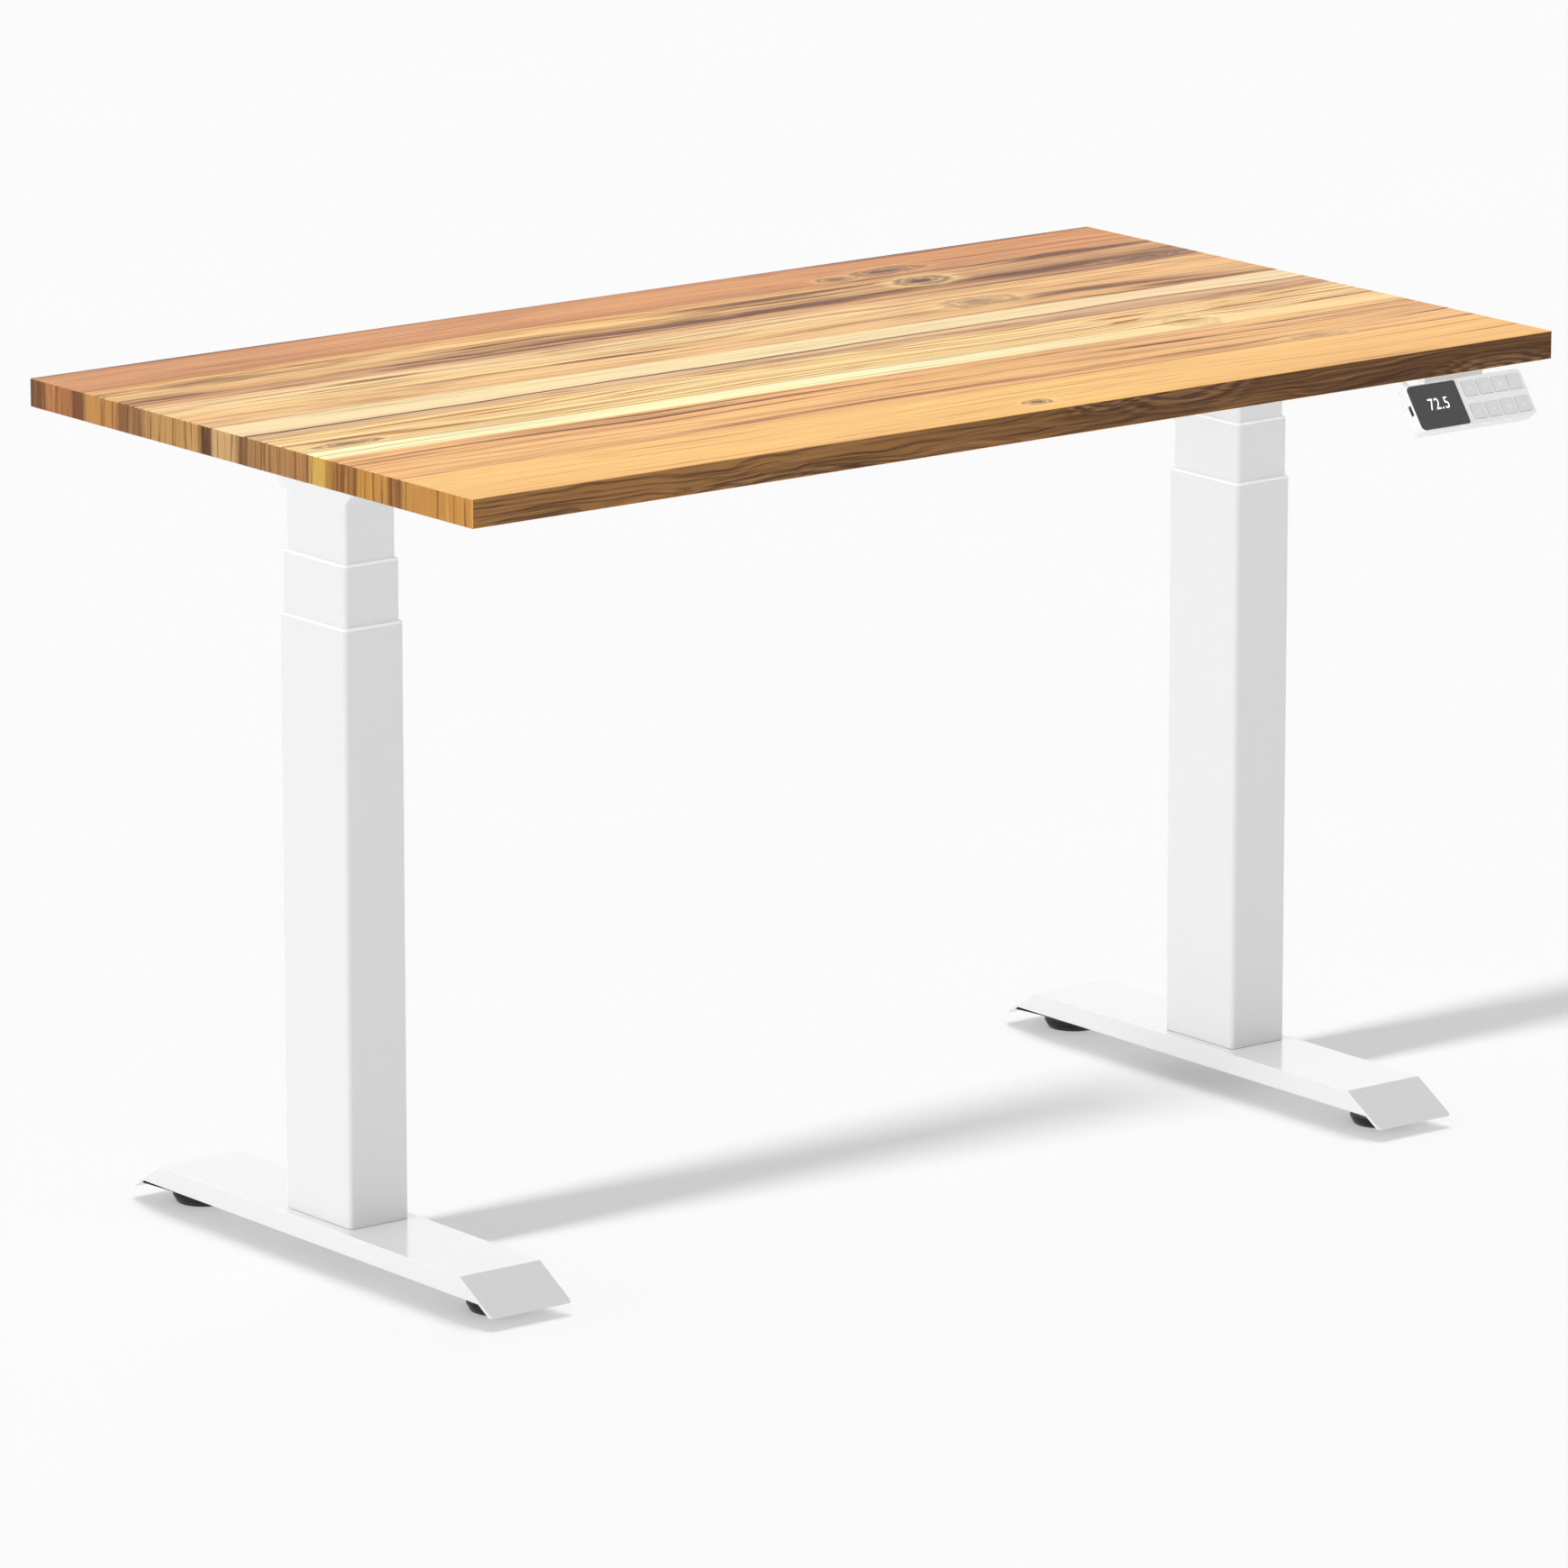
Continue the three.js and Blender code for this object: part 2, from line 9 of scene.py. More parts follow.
import bmesh
import bpy
from mathutils import Matrix, Vector

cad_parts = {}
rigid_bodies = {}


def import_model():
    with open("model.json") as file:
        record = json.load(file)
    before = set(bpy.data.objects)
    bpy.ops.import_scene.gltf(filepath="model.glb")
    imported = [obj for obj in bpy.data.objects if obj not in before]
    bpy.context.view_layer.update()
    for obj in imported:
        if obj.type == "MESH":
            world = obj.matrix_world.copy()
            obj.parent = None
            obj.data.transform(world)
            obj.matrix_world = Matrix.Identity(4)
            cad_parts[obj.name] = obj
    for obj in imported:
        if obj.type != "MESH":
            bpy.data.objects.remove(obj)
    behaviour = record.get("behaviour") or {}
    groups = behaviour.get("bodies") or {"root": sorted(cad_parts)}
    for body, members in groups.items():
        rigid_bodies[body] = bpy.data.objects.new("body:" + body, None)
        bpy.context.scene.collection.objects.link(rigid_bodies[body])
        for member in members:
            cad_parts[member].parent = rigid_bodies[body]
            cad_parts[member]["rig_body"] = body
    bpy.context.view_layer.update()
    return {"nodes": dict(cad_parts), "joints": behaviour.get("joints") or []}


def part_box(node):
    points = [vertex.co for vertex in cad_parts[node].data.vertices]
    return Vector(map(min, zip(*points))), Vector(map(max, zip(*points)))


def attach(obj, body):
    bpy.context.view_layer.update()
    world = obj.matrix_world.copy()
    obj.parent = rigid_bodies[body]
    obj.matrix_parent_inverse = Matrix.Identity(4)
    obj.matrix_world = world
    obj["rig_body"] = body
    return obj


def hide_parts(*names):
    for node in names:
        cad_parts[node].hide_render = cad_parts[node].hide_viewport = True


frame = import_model()

MM = 0.001
SIDES = {"left": 1, "right": -1}  # which way along X the middle of the desk lies
scene = bpy.context.scene


def span(node):
    """The lowest and highest corners of a CAD node, in millimetres."""
    low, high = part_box(node)
    return low / MM, high / MM


def middle(node):
    low, high = span(node)
    return (low + high) / 2


# ---------------------------------------------------------------- camera, floor and light

CAMERA = {"place": (-5.6426, -7.2389, 2.5226), "yaw": 37.852, "pitch": 13.367, "lens": 247.27, "sensor": 36}
FLOOR_SIZE = 120
# Suns: where each comes from, and parts of the names of the pieces that it lights and that keep it off.
LEG_PARTS = ("tube_shell", "foot_channel", "glide_pad")
SUNS = {
    "Key": {"energy": 1.05, "comes_from": (-0.81, 0, 0.59), "softness": 12,
            "lights": ("",), "skips": ("Floor",), "casters": LEG_PARTS + ("handset_front", "handset_back")},
    "Overhead": {"energy": 0.1, "comes_from": (0, 0, 1), "softness": 50,
                 "lights": ("",), "skips": (), "casters": LEG_PARTS},
    "Worktop lamp": {"energy": 1.28, "comes_from": (0, 0, 1), "softness": 50,
                     "lights": ("worktop_board",), "skips": (), "casters": LEG_PARTS},
    "Floor key": {"energy": 3.6, "comes_from": (-0.81, 0, 0.59), "softness": 8,
                  "lights": ("Floor",), "skips": (), "casters": ("tube_shell",)},
    "Floor fill": {"energy": 2.2, "comes_from": (0.36, 0.48, 0.8), "softness": 30,
                   "lights": ("Floor",), "skips": (), "casters": ("foot_channel", "glide_pad")},
    "Foot lamp": {"energy": 0.8, "comes_from": (0, 0.86, 0.5), "softness": 40,
                  "lights": ("foot_channel",), "skips": (), "casters": ("glide_pad",)},
    "Handset lamp": {"energy": 0.45, "comes_from": (0, 0, 1), "softness": 40,
                     "lights": ("handset",), "skips": ("lead",), "casters": ("glide_pad",)},
}
SKY = {"horizon": 0.68, "zenith": 0.48, "wall": 0.64}  # the wall is the extra glow low down, beyond the desk


def add_camera():
    data = bpy.data.cameras.new("Camera")
    data.lens = CAMERA["lens"]
    data.sensor_width = CAMERA["sensor"]
    data.clip_end = 2 * FLOOR_SIZE
    camera = bpy.data.objects.new("Camera", data)
    camera.location = CAMERA["place"]
    camera.rotation_euler = (
        math.radians(90 - CAMERA["pitch"]), 0, -math.radians(CAMERA["yaw"]),
    )
    scene.collection.objects.link(camera)
    scene.camera = camera


def add_sun(name, energy, comes_from, softness, lights, skips, casters):
    data = bpy.data.lights.new(name, "SUN")
    data.energy = energy
    data.angle = math.radians(softness)
    sun = bpy.data.objects.new(name, data)
    sun.rotation_euler = Vector(comes_from).to_track_quat("Z", "Y").to_euler()
    sun.light_linking.blocker_collection = shown_pieces(name + " casters", casters)
    sun.light_linking.receiver_collection = shown_pieces(name + " receivers", lights, skips)
    scene.collection.objects.link(sun)


def shown_pieces(name, words, without=()):
    """The pieces with one of the words in their names, and none of the others."""
    group = bpy.data.collections.new(name)
    for item in scene.objects:
        wanted = any(word in item.name for word in words) and not any(word in item.name for word in without)
        if item.type == "MESH" and not item.hide_render and wanted:
            group.objects.link(item)
    return group


def add_sky():
    """A pale dome, brighter near the horizon, with a lit white wall beyond the desk."""
    world = bpy.data.worlds.new("Studio")
    scene.world = world
    world.use_nodes = True
    nodes, links = world.node_tree.nodes, world.node_tree.links
    direction = nodes.new("ShaderNodeTexCoord")
    split = nodes.new("ShaderNodeSeparateXYZ")
    height = nodes.new("ShaderNodeMapRange")
    height.inputs["To Min"].default_value = SKY["horizon"]
    height.inputs["To Max"].default_value = SKY["zenith"]
    links.new(direction.outputs["Generated"], split.inputs[0])
    links.new(split.outputs["Z"], height.inputs["Value"])
    beyond = nodes.new("ShaderNodeMapRange")
    beyond.interpolation_type = "SMOOTHSTEP"
    beyond.inputs["From Min"].default_value = 0.15
    beyond.inputs["From Max"].default_value = 0.6
    low_down = nodes.new("ShaderNodeMapRange")
    low_down.interpolation_type = "SMOOTHSTEP"
    low_down.inputs["From Min"].default_value = 0.45
    low_down.inputs["From Max"].default_value = 0.25
    low_down.inputs["To Max"].default_value = SKY["wall"]
    links.new(split.outputs["Y"], beyond.inputs["Value"])
    links.new(split.outputs["Z"], low_down.inputs["Value"])
    glow = nodes.new("ShaderNodeMath")
    glow.operation = "MULTIPLY_ADD"
    links.new(beyond.outputs[0], glow.inputs[0])
    links.new(low_down.outputs[0], glow.inputs[1])
    links.new(height.outputs[0], glow.inputs[2])
    links.new(glow.outputs[0], nodes["Background"].inputs["Strength"])
    nodes["Background"].inputs["Color"].default_value = (1, 1, 1, 1)


# ---------------------------------------------------------------- shading helpers


def linear(red, green, blue):
    """A colour given in 0 to 255 display values, as the linear colour that a shader takes."""
    def channel(value):
        value = value / 255
        return value / 12.92 if value <= 0.04045 else ((value + 0.055) / 1.055) ** 2.4
    return (channel(red), channel(green), channel(blue), 1)


class Field:
    """A number that varies over a surface. Arithmetic on it adds math nodes."""

    def __init__(self, graph, socket):
        self.graph = graph
        self.socket = socket

    def __add__(self, other):
        return self.graph.math("ADD", self, other)

    def __sub__(self, other):
        return self.graph.math("SUBTRACT", self, other)

    def __rsub__(self, other):
        return self.graph.math("SUBTRACT", other, self)

    def __mul__(self, other):
        return self.graph.math("MULTIPLY", self, other)

    def __truediv__(self, other):
        return self.graph.math("DIVIDE", self, other)

    __radd__ = __add__
    __rmul__ = __mul__

    def apply(self, operation, other=None):
        return self.graph.math(operation, self, other)

    def between(self, start, end):
        """0 up to start and 1 from end on, with a smooth step between them; falls where start > end."""
        low, high = (0, 1) if start < end else (1, 0)
        node = self.graph.node("MapRange", interpolation_type="SMOOTHSTEP")
        values = (self, min(start, end), max(start, end), low, high)
        for name, value in zip(("Value", "From Min", "From Max", "To Min", "To Max"), values):
            self.graph.feed(node.inputs[name], value)
        return Field(self.graph, node.outputs[0])


class Graph:
    """The node graph of one material, with a Principled shader at its end."""

    def __init__(self, name):
        self.material = bpy.data.materials.new(name)
        self.material.use_nodes = True
        self.tree = self.material.node_tree
        self.shader = self.tree.nodes["Principled BSDF"]
        position = self.node("SeparateXYZ", self.node("TexCoord").outputs["Object"])
        self.x, self.y, self.z = (Field(self, output) / MM for output in position.outputs)

    def feed(self, socket, value):
        if isinstance(value, Field):
            value = value.socket
        if isinstance(value, bpy.types.Node):
            value = value.outputs[0]
        if isinstance(value, bpy.types.NodeSocket):
            self.tree.links.new(value, socket)
        elif value is not None:
            socket.default_value = value

    def node(self, kind, *inputs, **settings):
        node = self.tree.nodes.new("ShaderNode" + kind)
        for key, value in settings.items():
            setattr(node, key, value)
        for socket, value in zip(node.inputs, inputs):
            self.feed(socket, value)
        return node

    def math(self, operation, *inputs):
        return Field(self, self.node("Math", *inputs, operation=operation).outputs[0])

    def noise(self, x, y, z=0.0, detail=2.0, roughness=0.5, scale=1.0):
        place = self.node("CombineXYZ", x, y, z)
        node = self.node("TexNoise")
        for name, value in (("Vector", place), ("Scale", scale), ("Detail", detail), ("Roughness", roughness)):
            self.feed(node.inputs[name], value)
        return Field(self, node.outputs[0])

    def ramp(self, value, stops, interpolation="LINEAR"):
        """A colour for each value from 0 to 1, from a list of (value, colour)."""
        node = self.node("ValToRGB", value)
        elements = node.color_ramp.elements
        node.color_ramp.interpolation = interpolation
        elements[0].position, elements[0].color = stops[0]
        elements[1].position, elements[1].color = stops[-1]
        for position, colour in stops[1:-1]:
            elements.new(position).color = colour
        return node.outputs[0]

    def mix(self, amount, first, second, blend="MIX"):
        node = self.node("Mix", data_type="RGBA", blend_type=blend, clamp_factor=True)
        self.feed(node.inputs[0], amount)
        self.feed(node.inputs[6], first)
        self.feed(node.inputs[7], second)
        return node.outputs[2]

    def bump(self, height, distance, strength=1.0):
        """Fine relief: height times distance, in millimetres."""
        node = self.node("Bump")
        self.feed(node.inputs["Strength"], strength)
        self.feed(node.inputs["Distance"], distance * MM)
        self.feed(node.inputs["Height"], height)
        self.feed(self.shader.inputs["Normal"], node.outputs[0])

    def finish(self, **values):
        """Sets the shader's own sockets, with spaces for underscores in their names."""
        for name, value in values.items():
            self.feed(self.shader.inputs[name.replace("_", " ")], value)
        return self.material


# ---------------------------------------------------------------- plain materials


def grey(value, tint=0.0):
    return (value, value, value + tint, 1)


def powder_coat():
    g = Graph("White powder coat")
    peel = g.noise(g.x, g.y, g.z, detail=3, scale=0.9)
    cloud = g.noise(g.x, g.y, g.z, detail=2, scale=0.012)
    g.bump(peel, 0.02, 0.1)
    tone = g.mix(cloud, grey(0.81, 0.004), grey(0.815, 0.004))
    gloss = 0.22 + 0.06 * peel
    return g.finish(Base_Color=tone, Roughness=gloss, Specular_IOR_Level=0.5, Coat_Weight=0.8,
                    Coat_Roughness=0.03)


def moulded_plastic(name, dark, pale, roughness, texture=0.06):
    """Plastic with the fine spark-eroded texture of its mould."""
    g = Graph(name)
    grain = g.noise(g.x, g.y, g.z, detail=4, roughness=0.7, scale=2.2)
    cloud = g.noise(g.x, g.y, g.z, detail=3, scale=0.03)
    g.bump(grain, texture, 0.35)
    tone = g.mix(cloud, grey(dark), grey(pale))
    return g.finish(Base_Color=tone, Roughness=roughness + 0.12 * grain)


def glowing_guide_plastic():
    """Natural nylon with a faint painted glow, so that its thin rims look lit."""
    g = Graph("Natural nylon")
    grain = g.noise(g.x, g.y, g.z, detail=3, scale=1.5)
    tone = g.mix(grain, grey(0.9), grey(0.93))
    # The emission is a painted glow: the nylon is no lamp.
    return g.finish(Base_Color=tone, Roughness=0.4 + 0.1 * grain, Emission_Color=tone, Emission_Strength=0.09)


def zinc_steel():
    g = Graph("Zinc plated steel")
    spangle = g.noise(g.x, g.y, g.z, detail=4, roughness=0.6, scale=0.3)
    scratches = g.noise(g.x * 0.6, g.y * 0.6, g.z * 0.04, detail=5, roughness=0.7, scale=2)
    tone = g.mix(spangle.between(0.3, 0.7), grey(0.56), grey(0.62))
    g.bump(scratches, 0.02, 0.3)
    return g.finish(Base_Color=tone, Metallic=1.0, Roughness=0.24 + 0.2 * scratches)


def sheathing(name, dark, pale):
    g = Graph(name)
    grain = g.noise(g.x, g.y, g.z, detail=3, scale=1.4)
    tone = g.mix(grain, grey(dark), grey(pale))
    g.bump(grain, 0.05, 0.3)
    return g.finish(Base_Color=tone, Roughness=0.5 + 0.15 * grain)


def solder_mask():
    g = Graph("Circuit board")
    cells = g.node("TexBrick", g.node("CombineXYZ", g.x, g.y), offset=0.5)
    cells.inputs["Scale"].default_value = 0.3
    cells.inputs["Mortar Size"].default_value = 0.03
    tone = g.mix(cells.outputs["Fac"], (0.012, 0.09, 0.035, 1), (0.05, 0.24, 0.1, 1))
    return g.finish(Base_Color=tone, Roughness=0.3 + 0.1 * g.noise(g.x, g.y, g.z, scale=0.4))


def display_glass():
    g = Graph("Display window")
    smear = g.noise(g.x * 0.4, g.y, g.z, detail=3, scale=0.1)
    tone = g.mix(smear, grey(0.05, 0.001), grey(0.059, 0.002))
    return g.finish(Base_Color=tone, Roughness=0.1 + 0.08 * smear, Coat_Weight=0.5, Coat_Roughness=0.04)


def lit_ink(name, colour, glow):
    g = Graph(name)
    patch = g.noise(g.x, g.y, g.z, scale=0.8)
    tone = g.mix(patch, colour, tuple(0.96 * value for value in colour[:3]) + (1,))
    return g.finish(Base_Color=tone, Roughness=0.4, Emission_Color=tone, Emission_Strength=glow)


def pale_floor():
    g = Graph("Floor")
    grain = g.noise(g.x, g.y, detail=2, scale=0.002)
    tone = g.mix(grain, grey(0.52), grey(0.525))
    return g.finish(Base_Color=tone, Roughness=0.9, Specular_IOR_Level=0.0)


# ---------------------------------------------------------------- wood

top_low, top_high = span("desktop")
TOP_LENGTH, TOP_DEPTH, TOP_THICKNESS = top_high - top_low

# The staves' joints, from the rear edge.
JOINTS = (79, 169, 272, 341, 439, 540)

# Colour across the grain at the left end and at the right end: (distance from the rear edge, colour). The dark first
# few millimetres by the rear edge are painted shade along that edge.
TONES_LEFT = (
    (0, (146, 98, 68)), (7, (208, 148, 104)), (30, (220, 160, 114)), (60, (214, 150, 102)), (78, (198, 140, 100)),
    (80, (226, 168, 108)), (105, (248, 204, 140)), (128, (238, 194, 134)), (146, (218, 172, 124)),
    (168, (228, 176, 124)), (170, (248, 208, 156)), (200, (252, 217, 160)), (235, (251, 204, 142)),
    (255, (240, 194, 140)), (271, (244, 200, 144)), (273, (246, 222, 170)), (307, (246, 221, 171)),
    (318, (232, 194, 148)), (340, (226, 184, 138)), (342, (246, 211, 148)),
    (372, (250, 215, 152)), (405, (248, 215, 150)), (412, (255, 246, 196)), (436, (255, 244, 190)),
    (440, (252, 196, 130)), (470, (238, 180, 120)), (500, (250, 194, 128)), (538, (242, 184, 122)),
    (541, (250, 196, 122)), (600, (250, 198, 122)), (642, (243, 187, 116)),
)
TONES_RIGHT = (
    (0, (124, 86, 66)), (9, (210, 146, 98)), (40, (224, 160, 110)), (78, (212, 150, 102)), (80, (216, 166, 118)),
    (110, (216, 166, 120)), (135, (180, 138, 102)), (168, (198, 150, 108)), (170, (252, 202, 142)),
    (205, (244, 192, 134)), (240, (220, 174, 128)), (271, (226, 178, 128)), (273, (244, 215, 170)),
    (302, (246, 216, 170)), (312, (216, 174, 134)), (340, (208, 164, 126)),
    (342, (242, 202, 146)), (380, (252, 216, 158)), (438, (250, 212, 154)), (440, (252, 200, 138)),
    (475, (238, 184, 128)), (538, (250, 194, 132)), (541, (248, 194, 124)), (642, (244, 188, 118)),
)
# How strongly each stave shows broad streaks, growth rings and grey smudges.
FIGURE = (
    (0, (0.4, 0.25, 0.1)), (79, (1.0, 0.5, 0.7)), (169, (0.7, 0.4, 0.35)), (272, (0.05, 0.05, 0.05)),
    (322, (0.6, 0.6, 0.3)), (341, (0.15, 1.0, 0.0)), (409, (0.1, 0.12, 0.0)), (439, (0.75, 0.35, 0.15)), (540, (0.12, 0.2, 0.02)),
)
# Knots: along from the left end, from the rear edge, half length, half width, darkness, pale halo.
KNOTS = (
    (828, 66, 20, 10, 0.85, 0.3), (890, 60, 38, 13, 0.9, 0.2), (886, 117, 28, 16, 1.0, 0.6),
    (862, 226, 38, 18, 0.6, 0.35), (1112, 148, 44, 15, 0.8, 0.0), (52, 394, 34, 7, 0.9, 0.3),
    (952, 412, 24, 24, 0.3, 0.2), (617, 611, 14, 9, 0.9, 0.3), (1000, 530, 28, 13, 0.3, 0.2),
)
# Long dark smears that taper at both ends: along, from the rear edge, half length, half width, darkness.
SMEARS = (
    (450, 224, 75, 4, 0.7), (225, 189, 75, 5, 0.6), (560, 146, 300, 9, 0.55), (980, 140, 190, 9, 0.6),
    (330, 462, 330, 4, 0.7), (870, 474, 90, 4, 0.7), (1010, 245, 130, 10, 0.5), (1100, 92, 110, 9, 0.55),
    (760, 100, 200, 6, 0.5), (420, 128, 210, 5, 0.5), (1100, 262, 90, 8, 0.55), (560, 528, 240, 6, 0.4),
)
DARK_FIGURE = linear(122, 88, 72)
RING_TINT = linear(194, 152, 124)
KNOT_CORE = linear(92, 70, 60)
WOOD_LIGHT = 0.9  # how much darker than its seen colour the wood itself is


def across(stops):
    """Ramp stops from distances over the worktop's depth."""
    return [(place / TOP_DEPTH, colour) for place, colour in stops]


def toned(stops, light=WOOD_LIGHT):
    shades = []
    for place, colour in stops:
        red, green, blue, _ = linear(*colour)
        shades.append((place, (red * light, green * light, blue * light, 1)))
    return across(shades)


def dent(u, v, centre_u, centre_v, half_length, half_width):
    """How far a point lies from a spot, 1 being the spot's outline."""
    du = (u - centre_u) / half_length
    dv = (v - centre_v) / half_width
    return (du * du + dv * dv).apply("SQRT")


def joint_distance(g, v):
    """Distance to the nearest glue line."""
    nearest = (v - JOINTS[0]).apply("ABSOLUTE")
    for joint in JOINTS[1:]:
        nearest = g.math("MINIMUM", nearest, (v - joint).apply("ABSOLUTE"))
    return nearest


def flowing_grain(g, u, v, calm):
    """The across-grain place that a point's grain comes from: wavy, and bulging round the knots."""
    slow = g.noise(u / 420, v / 160, detail=1) - 0.5
    quick = g.noise(u / 90, v / 40, 7, detail=2) - 0.5
    flow = v + (slow * 34 + quick * 4.5) * calm
    for along, back, half_length, half_width, _, _ in KNOTS:
        reach = dent(u, v, along, back, half_length * 3.2, half_width * 2.0)
        side = (v - back) / half_width
        push = side / (side * side + 0.4).apply("SQRT") * reach.between(1, 0)
        flow = flow - push * half_width * 0.75 * calm
    return flow


def hairline(place, spacing, thickness):
    """1 on lines that repeat at a spacing over the place, in millimetres."""
    distance = ((place / spacing).apply("FRACT") - 0.5).apply("ABSOLUTE") * spacing
    return distance.between(thickness / 2, thickness / 6)


def wood_face():
    """The upper face: seven staves, each with its own tone and figure, knots and dark smears."""
    g = Graph("Oiled wood")
    u = g.x - top_low.x
    v = top_high.y - g.y
    gap = joint_distance(g, v)
    calm = gap.between(0, 13)
    flow = flowing_grain(g, u, v, calm)
    place = flow / TOP_DEPTH

    left = g.ramp(place, toned(TONES_LEFT))
    right = g.ramp(place, toned(TONES_RIGHT))
    drift = (g.noise(u / 300, v / 50, 3, detail=2) - 0.5) * 500
    tone = g.mix((u + drift).between(560, 1080), left, right)

    figure = g.node("SeparateColor", g.ramp(v / TOP_DEPTH, across(
        [(at, shades + (1,)) for at, shades in FIGURE]), "CONSTANT"))
    streaky, ringed, smudged = (Field(g, output) for output in figure.outputs[:3])
    stave = g.ramp(v / TOP_DEPTH, across(
        [(at, grey((n * 0.37) % 1)) for n, at in enumerate((0,) + JOINTS)]), "CONSTANT")
    seed = g.node("Math", stave, 9.0, operation="MULTIPLY")

    streak = g.noise(u / 400, flow / 6.5, seed, detail=5, roughness=0.68).between(0.5, 0.62)
    smudge = g.noise(u / 200, flow / 22, seed, detail=4, roughness=0.6).between(0.5, 0.66)
    lines = g.noise(u / 420, flow / 3.2, seed, detail=4, roughness=0.7)
    fibres = g.noise(u / 60, flow / 1.0, seed, detail=2, roughness=0.6)
    growth = flow + (g.noise(u / 620, flow / 70, seed, detail=2) - 0.5) * 60
    growth = growth + (g.noise(u / 900, flow / 13, seed) - 0.5) * 26
    fading = g.noise(u / 260, flow / 9, 4, detail=2)
    late = hairline(growth, 9.4, 3.6) * fading.between(0.36, 0.52)
    early = hairline(growth + 4, 6.3, 2.2) * fading.between(0.6, 0.42)

    dark = streak * (0.25 + lines.between(0.42, 0.6) * 0.75) * streaky + smudge * smudged * 0.75
    for along, back, half_length, half_width, depth in SMEARS:
        near = dent(u, flow, along, back, half_length, half_width)
        dark = dark + (near + (lines - 0.5) * 2.2).between(1.15, 0.25) * depth * 1.3
    crack = (flow + u * 0.012 - 321).apply("ABSOLUTE") + (lines - 0.5) * 2
    dark = dark + crack.between(2.4, 0.7) * 0.8
    dark = dark + lines.between(0.54, 0.66) * 0.6
    rings = (late * 1.2 + early * 0.7) * ringed
    tone = g.mix(rings, tone, g.mix(1.0, tone, RING_TINT, "MULTIPLY"))
    tone = g.mix(dark, tone, g.mix(1.0, tone, DARK_FIGURE, "MULTIPLY"))
    tone = g.mix(dark.between(0.6, 1.5) * 0.8, tone, DARK_FIGURE)
    tone = g.mix(crack.between(3.0, 1.6) * u.between(900, 450) * 0.95, tone, KNOT_CORE)
    pale = lines.between(0.48, 0.34) * 0.75 + fibres.between(0.5, 0.32) * 0.15
    tone = g.mix(pale, tone, linear(255, 226, 170), "SOFT_LIGHT")

    ragged = (g.noise(u / 34, v / 11, 13, detail=3, roughness=0.6) - 0.5) * 1.3
    for along, back, half_length, half_width, depth, halo in KNOTS:
        near = dent(u, v, along, back, half_length, half_width) + ragged
        rim = (near - 0.95).apply("ABSOLUTE").between(0.26, 0.05)
        inner = (near - 0.6).apply("ABSOLUTE").between(0.13, 0.04)
        tone = g.mix(near.between(1.9, 1.15) * halo, tone, linear(244, 205, 138))
        tone = g.mix((rim * 0.8 + inner * 0.8) * depth, tone, DARK_FIGURE)
        tone = g.mix(near.between(0.58, 0.36) * depth, tone, KNOT_CORE)

    seam = gap.between(0.9, 0.2) * 0.35
    tone = g.mix(seam, tone, DARK_FIGURE)
    shade = 0.965 + 0.07 * fibres
    tone = g.mix(1.0, tone, g.node("CombineColor", shade, shade, shade), "MULTIPLY")
    g.bump(lines * 0.5 + fibres * 0.5 - dark * 0.3 - rings * 0.2 - seam, 0.06, 0.35)
    return g.finish(Base_Color=tone, Roughness=0.46 + 0.12 * fibres, Specular_IOR_Level=0.12)


TONES_END = (
    (0, (124, 84, 52)), (22, (132, 88, 54)), (24, (190, 128, 78)), (62, (178, 118, 72)), (64, (140, 88, 58)),
    (82, (128, 82, 54)), (84, (206, 150, 84)), (132, (196, 140, 78)), (134, (140, 96, 62)), (170, (160, 116, 76)),
    (174, (202, 156, 98)), (220, (198, 150, 92)), (253, (204, 156, 96)), (256, (96, 62, 42)), (270, (104, 68, 46)),
    (274, (214, 172, 118)), (308, (214, 172, 116)), (314, (112, 72, 48)), (328, (178, 132, 86)),
    (372, (186, 136, 84)), (412, (176, 126, 76)), (417, (222, 180, 88)), (434, (222, 178, 88)),
    (438, (186, 130, 66)), (478, (150, 100, 56)), (484, (208, 150, 70)), (522, (202, 144, 70)), (527, (140, 92, 52)),
    (542, (166, 112, 62)), (548, (208, 150, 76)), (600, (204, 144, 70)), (642, (210, 148, 72)),
)


def wood_end():
    """The sawn ends: upright strips that carry on from the face's grain."""
    g = Graph("Oiled end grain")
    v = top_high.y - g.y
    sway = (g.noise(g.z / 60, v / 30, detail=1) - 0.5) * 5
    flow = v + sway
    tone = g.ramp(flow / TOP_DEPTH, toned(TONES_END, 0.83))
    strips = g.noise(flow / 3.4, g.z / 160, 2, detail=4, roughness=0.65)
    fine = g.noise(flow / 0.8, g.z / 26, 5, detail=2)
    tone = g.mix(strips.between(0.52, 0.62) * 0.7, tone, linear(108, 65, 32))
    tone = g.mix(strips.between(0.46, 0.32) * 0.4, tone, linear(222, 172, 88))
    tone = g.mix(fine.between(0.55, 0.75) * 0.25, tone, linear(92, 58, 36))
    g.bump(strips * 0.5 + fine * 0.5, 0.08, 0.4)
    return g.finish(Base_Color=tone, Roughness=0.5 + 0.15 * fine, Specular_IOR_Level=0.12)


# Arched figures on the long edges: along, height over the underside, half length, half height.
ARCHES = ((672, 26, 50, 14), (752, 27, 84, 22), (1108, 0, 74, 15), (330, -2, 120, 13))


